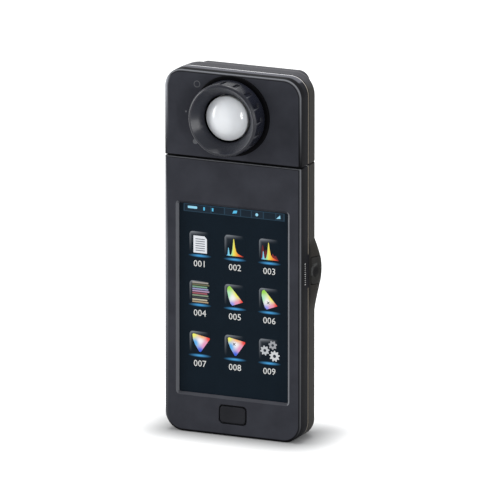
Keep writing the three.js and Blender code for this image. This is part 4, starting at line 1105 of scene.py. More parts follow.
        # Rings that bound the painted shade band behind the front edge.
        path += [self.section(edge + band) for band in self.dark_band]
        path += [self.section(end - back) for back in (*self.trim, self.front_chamfer)]
        rim = (
            (end - step, step_inset),
            (end, self.front_chamfer),
            (end, self.lip_outset),
            (end + self.lip_length, self.lip_outset),
            (end + self.lip_length, self.lip_outset + self.lip_width),
            (end, self.lip_outset + self.lip_width),
            (end, self.wall),
            (self.plate, self.wall),
        )
        return self.through(path + [self.section(depth, inset) for depth, inset in rim])

    def outer_path(self, start: float) -> list[Section]:
        """The outlines of the rear's outer surface from a depth to the deck.

        Args:
            start: The depth at which they start.

        Returns:
            The sections in order.
        """
        edge = self.deck_edge
        depths = [depth for depth in self.side_cuts if depth > start + 0.3]
        shoulder = evenly(self.shoulder_start, self.shoulder_end, 18)
        depths += [depth for depth in shoulder if depth > start + 0.05]
        path = [self.section(depth) for depth in depths]
        rounding = [(self.depth - edge * (1 - sin), edge * (1 - cos)) for cos, sin in quarter(6)]
        return path + [self.section(depth, inset) for depth, inset in rounding]

    def inner_path(self, inset: float, end: float) -> list[Section]:
        """The outlines inside the rear's wall, an inset thick, from the deck to an end towards the front."""
        depths = [self.depth, *reversed(evenly(self.shoulder_start, self.shoulder_end, 6))]
        return [self.offset(depth, inset) for depth in depths] + [self.section(end, inset)]

    def rear_solid(self) -> BMesh:
        """The rear shell without its openings.

        Returns:
            The shell as a closed mesh.
        """
        room, start, chamfer = self.lip_outset - self.gap, self.rear_start, self.rear_chamfer
        rim = self.front_depth + self.lip_length + self.gap
        step, step_inset = self.chamfer_step
        lip = (
            (rim, room), (start, room), (start, chamfer), (start + step, step_inset), (start + chamfer, 0.0),
        )
        path = self.inner_path(self.wall, rim)
        path += [self.section(depth, inset) for depth, inset in lip]
        return self.through(path + self.outer_path(start + chamfer))

    def swivel_hole(self, radius: float, below: float, above: float) -> BMesh:
        """The round cutter of the swivel, from below the split to above it.

        Args:
            radius: Its radius.
            below: How far it reaches below the split.
            above: How far it reaches above the split.

        Returns:
            The cutter.
        """
        mesh = bmesh.new()
        bmesh.ops.create_cone(
            mesh, cap_ends=True, segments=48, radius1=radius, radius2=radius, depth=below + above,
            matrix=Matrix.Translation((0, 0, self.split + (above - below) / 2)),
        )
        return mesh

    def on_back(self, mesh: BMesh, z: float, x: float = 0.0) -> BMesh:
        """A mesh that faces the front, turned round and put on the deck."""
        return faced_back(mesh, self.y(self.depth), z, x)

    def screw_holes(self, rows: Iterable[float]) -> list[BMesh]:
        """The counterbores of the screws in the deck, at the given heights."""
        places = product((-self.screw_x, self.screw_x), rows)
        return [self.on_back(round_hole(2.4, 2.9, steps=32), z, x) for x, z in places]


# Body


@dataclass
class Body:
    """The lower block: its two shells, the battery cover and its lock, and the bush in the back."""

    case: Case
    screen_half: float = 29.1
    screen_low: float = 20.05
    screen_high: float = 115.55
    screen_corner: float = 0.8
    screen_bevel: float = 1.2
    screen_slope: float = 1.3
    # How densely the painted highlight lies on the screen recess's sloping edge: right, left, bottom and
    # top.
    bevel_highlight_densities: Tone = (0.95, 0.5, 0.14, 0.0)
    menu_z: float = 11.0
    measure_depth: float = 15.1
    measure_z: float = 85.3
    side_depth: float = 13.8
    power_z: float = 123.0
    memory_z: float = 106.0
    terminal_z: float = 94.4
    flap_z: float = 80.5
    strap_low: float = 59.5
    strap_high: float = 71.5
    strap_floor: float = -29.3
    strap_front: float = 12.0
    strap_back: float = 17.4
    cover_low: float = 2.6
    cover_high: float = 55.5
    cover_start: float = 17.2
    cover_thickness: float = 1.5
    cover_chamfer: float = 0.2
    floor_thickness: float = 1.4
    floor_end: float = 13.0
    bay_half: float = 14.8
    bay_bottom: float = 5.0
    bay_front: float = 23.4
    lock_low: float = 62.2
    lock_height: float = 4.6
    lock_half: float = 6.0
    lock_travel: float = 2.6
    lock_recess: float = 0.9
    lock_margin: float = 0.8
    tripod_z: float = 80.0
    tripod_radius: float = 5.5
    tripod_bore: float = 3.175
    thread_pitch: float = 1.27
    thread_depth: float = 0.35
    swivel: float = 9.8

    @property
    def strap_middle(self) -> Pair:
        """The depth and the height of the middle of the strap's pocket."""
        return (self.strap_front + self.strap_back) / 2, (self.strap_low + self.strap_high) / 2

    def on_left(self, mesh: BMesh, z: float, out: float = 0.0, depth: float | None = None) -> BMesh:
        """Puts a mesh that faces the front on the left side, at the row of keys if no depth is given."""
        y = self.case.y(self.side_depth if depth is None else depth)
        return moved(turned(mesh, -QUARTER, "Z"), -self.case.half - out, y, z)

    def screen_cutter(self) -> BMesh:
        """The recess of the screen, with its sloping sides.

        Returns:
            The cutter.
        """
        corner, bevel, slope = self.screen_corner, self.screen_bevel, self.screen_slope
        outline = Section(self.screen_half, self.screen_low, self.screen_high, corner, corner, 0.0)
        path = (
            (bevel + 0.22, -1.0), (bevel + 0.22, 0.0), (bevel + 0.06, 0.03), (bevel - 0.08, 0.14),
            (0.08, slope - 0.14), (0.0, slope), (0.0, self.case.plate + 1.0),
        )
        return lofted([outline.grown(grow, self.case.y(depth)) for grow, depth in path], 8, 8)

    def front_tone(self, point: Vector) -> Tone:
        """The tone of the front shell, with a painted highlight on the sloping screen edge, strong on the
        right, weaker on the left, faint at the bottom and none at the top.

        Args:
            point: A point of the shell.

        Returns:
            The colour there and its density.
        """
        right, left, low, high = self.bevel_highlight_densities
        margin, near, foot, top = self.screen_bevel + 0.5, 0.02, 10.0, 125.0
        on_slope = near < self.case.depth_of(point.y) < self.screen_slope - 0.05
        if not (on_slope and foot < point.z < top and abs(point.x) <= self.screen_half + margin):
            return self.case.front_tone(point)
        # Painted highlight on the screen recess's sloping edge.
        if abs(point.x) > self.screen_half:
            return (*self.case.edge_highlight_colour, right if point.x > 0 else left)
        return (*self.case.edge_highlight_colour, low if point.z < self.screen_low else high)

    def front(self) -> None:
        """The front shell with the screen recess and the window of the menu button."""
        case = self.case
        menu = moved(window(7.5, 4.9, radius=2.1, depth=4.0, rounding=0.2), y=case.y(0), z=self.menu_z)
        slices = [place + side for place in case.trim_break for side in (-0.3, 0.3)]
        mesh = worked(sliced(case.front_solid(), 2, slices), [
            (Joining.CUT, joined([self.screen_cutter(), menu])),
            (Joining.CUT, case.swivel_hole(self.swivel, 4.0, 1.0)),
        ])
        placed(mesh, "body_front", "body", FACE, ["front_shell"], painted_light=self.front_tone)

    def cover_zone(self, grow: float) -> BMesh:
        """The region that the battery cover takes from the back."""
        case = self.case
        return block(
            (-case.half - 1, case.y(self.cover_start - grow), self.cover_low - grow),
            (case.half + 1, case.y(case.depth + 1), self.cover_high + grow),
        )

    def bay_floor(self) -> BMesh:
        """The recessed wall under the battery cover.

        Returns:
            A thin closed shell.
        """
        case = self.case
        outer = self.cover_thickness + case.gap
        path = case.inner_path(outer + self.floor_thickness, self.floor_end)
        path += reversed(case.inner_path(outer, self.floor_end))
        return trimmed(case.through(path), self.cover_high + case.gap + self.floor_thickness, 1)

    def swollen(self, mesh: BMesh) -> BMesh:
        """Raises the swell on the right side of the rear shell.

        Args:
            mesh: The shell before its openings are cut.

        Returns:
            The same mesh.
        """
        case = self.case
        skin_drop, wall_drop, wall_reach = 0.05, 0.6, case.wall + 3.0
        on_skin, right_part, rear_part = 0.02, 20.0, 10.5
        sliced(mesh, 2, evenly(case.swell_bottom, case.swell_top, 36))
        for vert in mesh.verts:
            depth = case.depth_of(vert.co.y)
            inside = case.half_at(depth) - vert.co.x
            if abs(inside) < on_skin:
                vert.co.x += max(case.swell(depth, vert.co.z) - skin_drop, 0.0)
            elif inside < wall_reach and vert.co.x > right_part and depth > rear_part:
                vert.co.x += max(case.swell(depth, vert.co.z) - wall_drop, 0.0)
        return mesh

    def rear(self) -> None:
        """The rear shell with its swell, windows, pocket and battery bay."""
        case = self.case
        left = [self.on_left(window(2.3, 6.0, 2.3, 4.0, 0.2), z) for z in (self.power_z, self.memory_z)]
        left.append(self.on_left(window(3.0, 6.5, 0.9, 1.25, 0.15), self.flap_z))
        left.append(self.on_left(round_hole(3.3, 4.0, 0.15), self.terminal_z))
        socket = self.on_left(window(2.1, 4.35, 0.6, 4.0, 0.1), self.flap_z)
        measure = moved(
            turned(window(4.5, 7.15, 1.2, 18.0, 0.001), QUARTER, "Z"), 45.0, case.y(self.measure_depth),
            self.measure_z,
        )
        lock_low = self.lock_low - self.lock_margin
        lock_top = self.lock_low + self.lock_height + self.lock_travel + self.lock_margin
        lock_half, lock_tall = self.lock_half + self.lock_margin, (lock_top - lock_low) / 2
        recess = window(lock_half, lock_tall, 0.8, self.lock_recess, 0.2)
        slot = case.on_back(window(1.9, 3.2, 0.1, 3.5, 0.05), self.lock_low + 3.6)
        holes = [case.on_back(recess, (lock_low + lock_top) / 2)]
        holes.append(case.on_back(round_hole(5.8, 3.5), self.tripod_z))
        holes += case.screw_holes(case.body_screws[1:])
        bay = block(
            (-self.bay_half, case.y(self.bay_front), self.bay_bottom),
            (self.bay_half, case.y(case.depth + 1), self.cover_high),
        )
        mesh = worked(self.swollen(case.rear_solid()), [
            (Joining.CUT, self.cover_zone(case.gap)),
            (Joining.ADD, self.bay_floor()),
            (Joining.ADD, self.pocket_wall()),
            (Joining.CUT, joined(left)),
            (Joining.CUT, joined([socket, self.strap_cutter()])),
            (Joining.CUT, measure),
            (Joining.CUT, joined(holes)),
            (Joining.CUT, joined([slot, bay])),
            (Joining.CUT, case.swivel_hole(self.swivel, 4.0, 1.0)),
        ])
        placed(mesh, "body_rear", "body", BACK, ["rear_shell"], painted_light=case.rear_tone)

    def strap_cutter(self) -> BMesh:
        """The pocket that the hand strap's cord runs through, with a rounded mouth.

        Returns:
            The cutter.
        """
        half_width = (self.strap_back - self.strap_front) / 2
        half_height = (self.strap_high - self.strap_low) / 2
        mesh = window(half_width, half_height, 0.6, self.case.half + self.strap_floor, 0.25)
        depth, z = self.strap_middle
        return self.on_left(mesh, z, depth=depth)

    def pocket_wall(self) -> BMesh:
        """The walls round the strap's pocket."""
        case, wall, from_skin = self.case, 1.2, 0.6
        return block(
            (-case.half + from_skin, case.y(self.strap_front - wall), self.strap_low - wall),
            (self.strap_floor + wall, case.y(self.strap_back + wall), self.strap_high + wall),
        )

    def cover(self) -> None:
        """The battery cover, a curved shell that lifts off the back."""
        case, start, chamfer = self.case, self.cover_start, self.cover_chamfer
        path = case.inner_path(self.cover_thickness, start)
        path += [case.section(start, chamfer), case.section(start + chamfer)]
        mesh = case.through(path + case.outer_path(start + chamfer))
        trimmed(mesh, self.cover_high, 1)
        trimmed(mesh, self.cover_low, -1)
        placed(
            mesh, "cell_cover", "battery_cover", BACK, ["battery_cover"],
            painted_light=case.rear_tone,
        )

    def lock(self) -> None:
        """The ribbed slider that locks the battery cover."""
        knob = pad(self.lock_half, self.lock_height / 2, radius=0.8, length=0.6, rounding=0.25)
        stem = block((-1.5, 0.4, -1.5), (1.5, 2.4, 1.5))
        plate = block((-3.0, 2.2, -2.3), (3.0, 3.2, 2.3))
        grooves = [block((-5.0, -1.0, z - 0.28), (5.0, 0.3, z + 0.28)) for z in (-1.2, 0.0, 1.2)]
        mesh = worked(knob, [(Joining.ADD, stem), (Joining.ADD, plate), (Joining.CUT, joined(grooves))])
        self.case.on_back(mesh, self.lock_low + self.lock_height / 2)
        placed(mesh, "cover_lock", "battery_lock", KEY, ["battery_lock"])

    def bush(self) -> None:
        """The threaded bush for a tripod."""
        bore, outer, pitch, turns = self.tripod_bore, self.tripod_radius, self.thread_pitch, 6
        thread = []
        for i in range(turns):
            start = -0.6 - i * pitch
            thread += [(bore, start), (bore + self.thread_depth, start - pitch / 2)]
        profile = [
            (0.0, -9.0), (outer, -9.0), (outer, -3.7), (outer + 2.0, -3.7), (outer + 2.0, -2.3),
            (outer, -2.3), (outer, -0.35), (outer - 0.2, -0.15), (bore + 0.45, -0.15), *thread,
            (bore, -8.0), (0.0, -8.0),
        ]
        mesh = self.case.on_back(spun(profile, 64), self.tripod_z)
        placed(mesh, "tripod_socket", "body", BRASS, ["tripod_bush"])

    def build(self) -> None:
        """Builds every piece of the body."""
        self.front()
        self.rear()
        self.cover()
        self.lock()
        self.bush()


# Keys


@dataclass
class Keys:
    """The menu button, the measuring button in the swell and the two small keys on the left side."""

    case: Case
    body: Body
    menu_dish: float = 0.16
    small_dish: float = 0.12
    dimple_depth: float = 13.3
    dimple_z: float = 84.6
    dimple_half: Pair = (2.3, 3.7)
    dimple_sink: float = 1.1
    rim_highlight_colour: Colour = (0.08, 0.083, 0.083)

    def menu_crown(self, x: float, z: float) -> float:
        """How far the menu button stands out at a point of its top."""
        return -self.menu_dish * max(1 - (x / 6.6) ** 2, 0.0) * max(1 - (z / 4.0) ** 2, 0.0)

    def small_crown(self, _x: float, z: float) -> float:
        """How far a small key stands out at a point of its top."""
        return -self.small_dish * max(1 - (z / 5.0) ** 2, 0.0)

    def away(self, depth: float, z: float) -> float:
        """How far a point of the measuring button lies from its dimple: 1 on the dimple's rim."""
        half_depth, half_z = self.dimple_half
        return ((depth - self.dimple_depth) / half_depth) ** 2 + ((z - self.dimple_z) / half_z) ** 2

    def measuring_crown(self, x: float, z: float) -> float:
        """How far the measuring button stands out at a point of its top.

        Args:
            x: How far the point lies behind the button's middle.
            z: How far it lies above the middle.

        Returns:
            The distance from the flat side.
        """
        case = self.case
        depth, height, proud = self.body.measure_depth + x, self.body.measure_z + z, 0.08
        out = case.swell(depth, height) + proud - (case.half - case.half_at(depth))
        return out - self.dimple_sink * max(1 - self.away(depth, height), 0.0) ** 0.75

    def measuring_tone(self, point: Vector) -> Tone:
        """The painted shade in the dimple of the measuring button and the painted highlight on the front of
        its rim.

        Args:
            point: A point of the button.

        Returns:
            The colour there and its density.
        """
        dark_reach, rim, below, lit = 0.6, (0.8, 1.5), 1.5, 0.5
        depth = self.case.depth_of(point.y)
        reach = self.away(depth, point.z)
        # Painted shade in the dimple's core; a painted highlight on the front of its rim.
        if reach < dark_reach:
            return (*self.case.shade, 0.95 * (1 - reach / dark_reach) ** 0.4)
        on_rim = rim[0] < reach < rim[1] and point.z > self.dimple_z - below
        front = on_rim and depth < self.dimple_depth and point.x > self.case.half
        return (*self.rim_highlight_colour, lit * front)

    def flanged(self, top: BMesh, half_width: float, half_height: float, thick: float, seat: float) -> BMesh:
        """A key's top and the flange that holds it in its window, from a seat behind the top's front."""
        flange = block((-half_width, 0.0, -half_height), (half_width, thick, half_height), 0.2)
        return joined([top, moved(flange, y=seat)])

    def menu(self) -> None:
        """The menu button, slightly dished."""
        top = pad(6.7, 4.1, radius=1.7, length=2.3, rounding=0.4, crown=self.menu_crown, slices=10)
        mesh = self.flanged(top, 7.8, 5.2, thick=1.0, seat=2.1)
        moved(mesh, y=self.case.y(-0.2), z=self.body.menu_z)
        placed(mesh, "menu_key", "menu_button", KEY, ["menu_button"])

    def measuring(self) -> None:
        """The measuring button, which follows the swell and has an oval finger dimple."""
        case, body = self.case, self.body
        top = pad(4.2, 6.85, radius=1.2, length=1.6, rounding=0.35, crown=self.measuring_crown, slices=30)
        stem = block((-1.3, 1.4, -1.3), (1.3, 2.6, 1.3))
        mesh = joined([self.flanged(top, 4.2, 7.9, thick=1.0, seat=2.2), stem])
        moved(turned(mesh, QUARTER, "Z"), case.half, case.y(body.measure_depth), body.measure_z)
        placed(
            mesh, "measuring_key", "measuring_button", SIDE_KEY, ["measuring_button"],
            painted_light=self.measuring_tone,
        )

    def small(self, name: str, node: str, z: float) -> None:
        """One of the pill-shaped keys on the left side.

        Args:
            name: The name of the piece.
            node: The CAD node and body that it stands for.
            z: Its height.
        """
        top = pad(2.0, 5.7, radius=2.0, length=2.2, rounding=0.3, crown=self.small_crown, slices=6)
        mesh = self.body.on_left(self.flanged(top, 2.8, 6.5, thick=0.9, seat=2.0), z, out=0.4)
        placed(mesh, name, node, KEY, [node])

    def build(self) -> None:
        """Builds every key."""
        self.menu()
        self.measuring()
        self.small("power_key", "power_button", self.body.power_z)
        self.small("memory_key", "memory_button", self.body.memory_z)


# Left side


@dataclass
class SidePorts:
    """The flap of the data socket, the sync terminal with its cap, and the strap's pin."""

    case: Case
    body: Body
    cap_radius: float = 3.9
    cap_rim: float = 1.55
    knurls: int = 20
    knurl_depth: float = 0.05
    pin_x: float = -34.6

    def flap(self) -> None:
        """The rubber flap with its lift lip and its plug."""
        leaf = pad(2.7, 6.2, radius=0.6, length=0.95, rounding=0.2)
        plug = moved(block((-1.25, 0.0, -3.5), (1.25, 0.9, 3.5), 0.3), y=0.85)
        rib = moved(block((-1.6, -0.1, -0.3), (1.6, 0.3, 0.3), 0.1), z=-5.0)
        mesh = self.body.on_left(joined([leaf, plug, rib]), self.body.flap_z, -0.15)
        placed(mesh, "socket_flap", "data_flap", RUBBER, ["data_flap"])

    def terminal(self) -> None:
        """The sleeve of the sync terminal with its centre contact."""
        profile = [
            (0.0, -4.0), (1.6, -4.0), (1.6, -0.2), (1.8, 0.0), (2.8, 0.0), (3.0, -0.2), (3.0, -2.5),
            (3.7, -2.5), (3.7, -3.5), (3.0, -3.5), (3.0, -6.5), (0.0, -6.5),
        ]
        contact = spun([(0.0, -4.2), (0.4, -4.2), (0.4, -2.4), (0.25, -2.2), (0.0, -2.2)], 20)
        mesh = self.body.on_left(joined([spun(profile, 64), contact]), self.body.terminal_z)
        placed(mesh, "sync_sleeve", "body", STEEL, ["sync_terminal"])

    def cap(self) -> None:
        """The knurled cap of the sync terminal."""
        radius = self.cap_radius
        profile = [
            (0.0, 1.45), (1.2, 1.5), (2.4, 1.6), (radius - 0.35, 1.6), (radius - 0.1, 1.5), (radius, 1.25),
            (radius, 0.42), (radius - 0.12, 0.3), (1.2, 0.3), (1.2, -1.8), (0.9, -2.0), (0.0, -2.0),
        ]
        mesh = spun(profile, 120)
        for vert in mesh.verts:
            reach = math.hypot(vert.co.x, vert.co.z)
            if reach > radius - 0.2 and vert.co.y > -self.cap_rim:
                turn = math.atan2(vert.co.z, vert.co.x) * self.knurls
                shrink = 1 - self.knurl_depth * max(math.cos(turn), 0.0) ** 2
                vert.co.x *= shrink
                vert.co.z *= shrink
        self.body.on_left(mesh, self.body.terminal_z)
        placed(mesh, "sync_lid", "sync_cap", RUBBER, ["sync_cap"])

    def pin(self) -> None:
        """The steel pin across the strap's pocket."""
        body = self.body
        end = body.strap_back - body.strap_front + 0.4
        mesh = spun([(0.0, -0.85), (1.0, -0.85), (1.0, end), (0.0, end)], 40)
        moved(mesh, self.pin_x, self.case.y(body.strap_back), body.strap_middle[1])
        placed(mesh, "strap_bar", "body", STEEL, ["strap_pin"])

    def build(self) -> None:
        """Builds every piece of the left side."""
        self.flap()
        self.terminal()
        self.cap()
        self.pin()


# Head


@dataclass
class Head:
    """The upper block that turns on the body."""

    case: Case
    collar_hole: float = 17.1
    swivel: float = 7.6
    mark_thickness: float = 0.04

    def front(self) -> None:
        """The front shell with the hole of the receptor."""
        case = self.case
        hole = moved(round_hole(self.collar_hole, 4.0, 0.2, 96), y=case.y(0), z=case.receptor_z)
        swivel = case.swivel_hole(self.swivel, 3.0, 3.0)
        mesh = worked(case.front_solid(), [(Joining.CUT, hole), (Joining.CUT, swivel)])
        placed(mesh, "head_front", "head", FACE, ["head_front_shell"], painted_light=case.front_tone)

    def rear(self) -> None:
        """The rear shell with the counterbores of its screws."""
        case = self.case
        holes, swivel = joined(case.screw_holes(case.head_screws)), case.swivel_hole(self.swivel, 3.0, 3.0)
        mesh = worked(case.rear_solid(), [(Joining.CUT, holes), (Joining.CUT, swivel)])
        placed(mesh, "head_rear", "head", BACK, ["head_rear_shell"], painted_light=case.rear_tone)

    def marks(self) -> None:
        """The three index marks of the ring: an open circle, a dot and a filled circle."""
        thick, y = self.mark_thickness, self.case.y(0)
        open_circle = spun([(1.35, 0.0), (1.7, 0.0), (1.7, thick), (1.35, thick)], 40, closed=True)
        dot = spun([(0.0, -0.01), (0.5, -0.01), (0.5, thick), (0.0, thick)], 24)
        filled = spun([(0.0, -0.01), (1.3, -0.01), (1.3, thick), (0.0, thick)], 40)
        mesh = joined([
            moved(open_circle, -18.9, y, 176.2), moved(dot, -24.8, y, 161.9), moved(filled, -19.8, y, 147.3),
        ])
        placed(mesh, "ring_marks", "head", DIM_PRINT)

    def build(self) -> None:
        """Builds every piece of the head."""
        self.front()
        self.rear()
        self.marks()


@dataclass
class Receptor:
    """The light receptor: its collar, the opal dome and the notched ring round it."""

    case: Case
    dome_radius: float = 11.1
    dome_top: float = 6.5
    dome_rise: float = 4.6
    slot_starts: Pair = (-37.5, 142.5)
    slot_turn: float = 85.0
    ring_radius: float = 18.2
    notches: int = 16
    steps_per_notch: int = 13
    notch_steps: int = 4
    notch_low: float = 5.4
    notch_high: float = 11.6
    notch_depth: float = 0.8
    cone_reach: float = 16.7
    cone_low: float = 6.4
    # Painted light of the ring: a lighter painted reflection on the inner cone, and painted glints at the
    # notches.
    cone_reflection_colour: Colour = (0.017, 0.0185, 0.026)
    glint_colour: Colour = (0.17, 0.175, 0.19)

    def at_place(self, mesh: BMesh) -> BMesh:
        """Moves a mesh from the origin to the receptor's axis on the front face."""
        return moved(mesh, y=self.case.y(0), z=self.case.receptor_z)

    def slot(self, start: float) -> BMesh:
        """The cutter of a slot in the collar, for one leg of the ring.

        Args:
            start: The angle at which the leg's travel starts, in degrees.

        Returns:
            The cutter, around the Y axis.
        """
        mesh = bmesh.new()
        bmesh.ops.create_grid(mesh, x_segments=1, y_segments=1, size=1.0)
        bmesh.ops.scale(mesh, verts=mesh.verts, vec=(1.2, 4.0, 1.0))
        moved(mesh, 15.0, 0.5)
        turned(mesh, math.radians(5 - start), "Y")
        bmesh.ops.spin(
            mesh, geom=list(mesh.faces), cent=(0, 0, 0), axis=(0, 1, 0), dvec=(0, 0, 0),
            angle=math.radians(-self.slot_turn), steps=24, use_merge=False, use_duplicate=False,
        )
        return outward(mesh)

    def collar(self) -> None:
        """The collar that holds the dome, with the slots of the ring's legs."""
        back = -3.8
        profile = [
            (0.0, back), (16.8, back), (16.8, 0.3), (19.9, 0.3), (20.1, 0.45), (20.1, 1.2), (20.0, 1.45),
            (19.6, 1.65), (19.2, 1.7), (13.3, 1.7), (13.3, 5.8), (13.1, 6.0), (12.7, 6.0), (12.5, 5.8),
            (12.5, -2.3), (0.0, -2.3),
        ]
        mesh = worked(spun(profile, 128), [(Joining.CUT, joined(map(self.slot, self.slot_starts)))])
        placed(self.at_place(mesh), "dome_collar", "head", COLLAR, ["receptor_collar"])

    def dome(self) -> None:
        """The opal dome, with a straight skirt under its cap."""
        radius, top, rise = self.dome_radius, self.dome_top, self.dome_rise
        sphere = (radius**2 + rise**2) / (2 * rise)
        angles = evenly(0.0, math.asin(radius / sphere), 24)
        cap = [(sphere * math.sin(angle), top + rise - sphere * (1 - math.cos(angle))) for angle in angles]
        skirt = [(radius, top - 0.4), (radius, -0.8), (12.2, -0.8), (12.2, -2.0), (0.0, -2.0)]
        mesh = self.at_place(spun([*cap, *skirt], 128))
        placed(mesh, "opal_dome", "head", OPAL, ["diffuser_dome"], sharp=60.0)

    def turn_index(self, x: float, z: float) -> float:
        """How many of the ring's steps a point lies round its axis."""
        return math.atan2(z, x) % (2 * math.pi) / (2 * math.pi) * self.notches * self.steps_per_notch

    def ring_tone(self, point: Vector) -> Tone:
        """A lighter tone on the cone inside the ring, painted to stand in for its reflections, and a painted
        glint where each notch starts at the front.

        Args:
            point: A point of the ring.

        Returns:
            The colour there and its density.
        """
        near = 0.05
        height, z = self.case.y(0) - point.y, point.z - self.case.receptor_z
        reach = math.hypot(point.x, z)
        # Painted reflection: the lighter tone on the inner cone.
        if reach < self.cone_reach and height > self.cone_low:
            return (*self.cone_reflection_colour, 1.0)
        # Painted glint at the front corner of each notch.
        on_rim = abs(height - self.notch_high) < near and abs(reach - self.ring_radius) < near
        starts = round(self.turn_index(point.x, z)) % self.steps_per_notch == 0
        return (*self.glint_colour, float(on_rim and starts))

    def ring(self) -> None:
        """The ring that turns round the dome, with notches round its wall and a cone inside."""
        outer, inner = self.ring_radius, 13.6
        profile = [
            (inner, 2.0), (17.9, 2.0), (outer, 2.25), (outer, self.notch_low), (outer, self.notch_high),
            (18.05, 12.1), (17.75, 12.55), (17.35, 12.87), (17.1, 13.0), (16.85, 13.0), (16.6, 12.88),
            (12.35, 6.75), (12.15, 6.5), (12.1, 6.3), (inner, 6.3),
        ]
        mesh = self.notched(spun(profile, self.notches * self.steps_per_notch, closed=True))
        placed(
            self.at_place(mesh), "notched_ring", "ring", RING, ["selection_ring"],
            rounding=0.12, painted_light=self.ring_tone,
        )

    def notched(self, mesh: BMesh) -> BMesh:
        """Sinks the notches into the ring's wall.

        Args:
            mesh: The ring around the origin.

        Returns:
            The same mesh.
        """
        outer = self.ring_radius
        groups: dict[int, list[BMFace]] = {}
        for face in mesh.faces:
            middle = face.calc_center_median()
            if abs(math.hypot(middle.x, middle.z) - outer) > 0.05:
                continue
            notch, step = divmod(int(self.turn_index(middle.x, middle.z)), self.steps_per_notch)
            if self.notch_low < -middle.y < self.notch_high and step < self.notch_steps:
                groups.setdefault(notch, []).append(face)
        sunk = (outer - self.notch_depth) / outer
        for faces in groups.values():
            out = bmesh.ops.extrude_face_region(mesh, geom=faces)
            bmesh.ops.scale(mesh, verts=new_part(out, BMVert), vec=(sunk, 1.0, sunk))
            bmesh.ops.delete(mesh, geom=[face for face in faces if face.is_valid], context="FACES")
        return outward(mesh)

    def build(self) -> None:
        """Builds every piece of the receptor."""
        self.collar()
        self.dome()
        self.ring()


# Screws


@dataclass
class Screws:
    """The case screws, with their pan heads and cross recesses."""

    case: Case
    head: float = 1.3
    length: float = 19.2
    cross: Pair = (1.1, 0.2)
    cross_depth: float = 0.6
    seats: Pair = (23.6, 24.1)

    def screw(self, name: str, node: str, body: str, x: float, z: float, seat: float) -> None:
        """One screw in its counterbore.

        Args:
            name: The name of the piece.
            node: The CAD node that it stands for.
            body: The body that it rides on.
            x: Its X.
            z: Its height.
            seat: The depth of the face that its head lies on.
        """
        head, tip = self.head, -self.length
        profile = [
            (0.0, head), (1.0, head - 0.02), (1.5, head - 0.12), (1.8, head - 0.4), (1.9, head - 0.7),
            (1.9, 0.0), (1.0, 0.0), (1.0, tip + 0.6), (0.5, tip), (0.0, tip),
        ]
        floor = self.cross_depth - head
        cross = [block((-a, -3.0, -b), (a, floor, b)) for a, b in (self.cross, self.cross[::-1])]
        mesh = worked(spun(profile, 32), [(Joining.CUT, arm) for arm in cross])
        faced_back(mesh, self.case.y(seat + self.case.gap), z, x)
        placed(mesh, name, body, STEEL, [node])

    def build(self) -> None:
        """Builds every screw."""
        rows = (
            ("screw", "case_screw", "body", self.case.body_screws, self.seats),
            ("head_pin", "head_screw", "head", self.case.head_screws, self.seats[1:] * 2),
        )
        sides = (("left", -self.case.screw_x), ("right", self.case.screw_x))
        for (side, x), (name, node, body, heights, seats) in product(sides, rows):
            for level, z, seat in zip(("low", "high"), heights, seats):
                self.screw(f"{name}_{level}_{side}", f"{node}_{level}_{side}", body, x, z, seat)


# Screen


@dataclass(frozen=True)
class Patch:
    """A form on the screen whose colour runs smoothly between anchors, all counted from an icon's middle."""

    outline: tuple[Pair, ...]
    anchors: tuple[tuple[float, float, Colour], ...]
    softness: float = 0.15

    def colour_at(self, x: float, z: float, point: Vector) -> Colour:
        """The colour at a point, to which the nearest anchors give most.

        Args:
            x: The X of the icon's middle.
            z: The Z of the icon's middle.
            point: The point.

        Returns:
            The colour.
        """
        weights = [
            1 / ((point.x - x - ax) ** 2 + (point.z - z - az) ** 2 + self.softness) ** 1.5
            for ax, az, _ in self.anchors
        ]
        whole = sum(weights)
        return tuple(sum(w * c[i] for w, (_, _, c) in zip(weights, self.anchors)) / whole for i in range(3))


LEAF = Patch(
    (
        (-3.6, 5.0), (-2.9, 5.2), (-1.6, 3.9), (0.8, 1.2), (4.1, -2.4), (-1.6, -4.6), (-2.6, -3.6),
        (-3.7, -0.4), (-4.3, 2.4), (-4.2, 4.2),
    ),
    (
        (-3.5, 4.8, (0.32, 0.68, 0.06)), (0.9, 1.2, (0.85, 0.82, 0.1)), (4.0, -2.4, (0.85, 0.05, 0.03)),
        (0.8, -3.6, (0.8, 0.3, 0.45)), (-1.7, -4.4, (0.25, 0.3, 0.85)), (-3.9, 0.6, (0.42, 0.8, 0.5)),
        (-1.4, -0.6, (0.9, 0.9, 0.9)),
    ),
)
WEDGE = Patch(
    (
        (-4.0, 4.4), (-3.4, 4.8), (5.2, 3.2), (5.3, 2.6), (0.5, -4.2), (-0.3, -4.2), (-2.6, -0.6),
        (-3.7, 2.0),
    ),
    (
        (-3.6, 4.5, (0.88, 0.88, 0.12)), (1.0, 4.2, (0.9, 0.42, 0.12)), (5.2, 3.0, (0.88, 0.05, 0.03)),
        (2.8, -0.6, (0.8, 0.3, 0.5)), (0.1, -4.0, (0.04, 0.12, 0.7)), (-2.4, 0.2, (0.1, 0.42, 0.85)),
        (0.2, 1.4, (0.92, 0.9, 0.94)),
    ),
)
RAINBOW: tuple[tuple[float, Colour], ...] = (
    (0.0, (0.04, 0.2, 0.55)), (0.16, (0.25, 0.7, 0.85)), (0.3, (0.3, 0.7, 0.35)), (0.42, (0.85, 0.78, 0.1)),
    (0.56, (0.9, 0.45, 0.04)), (0.75, (0.85, 0.1, 0.03)), (1.0, (0.45, 0.03, 0.02)),
)
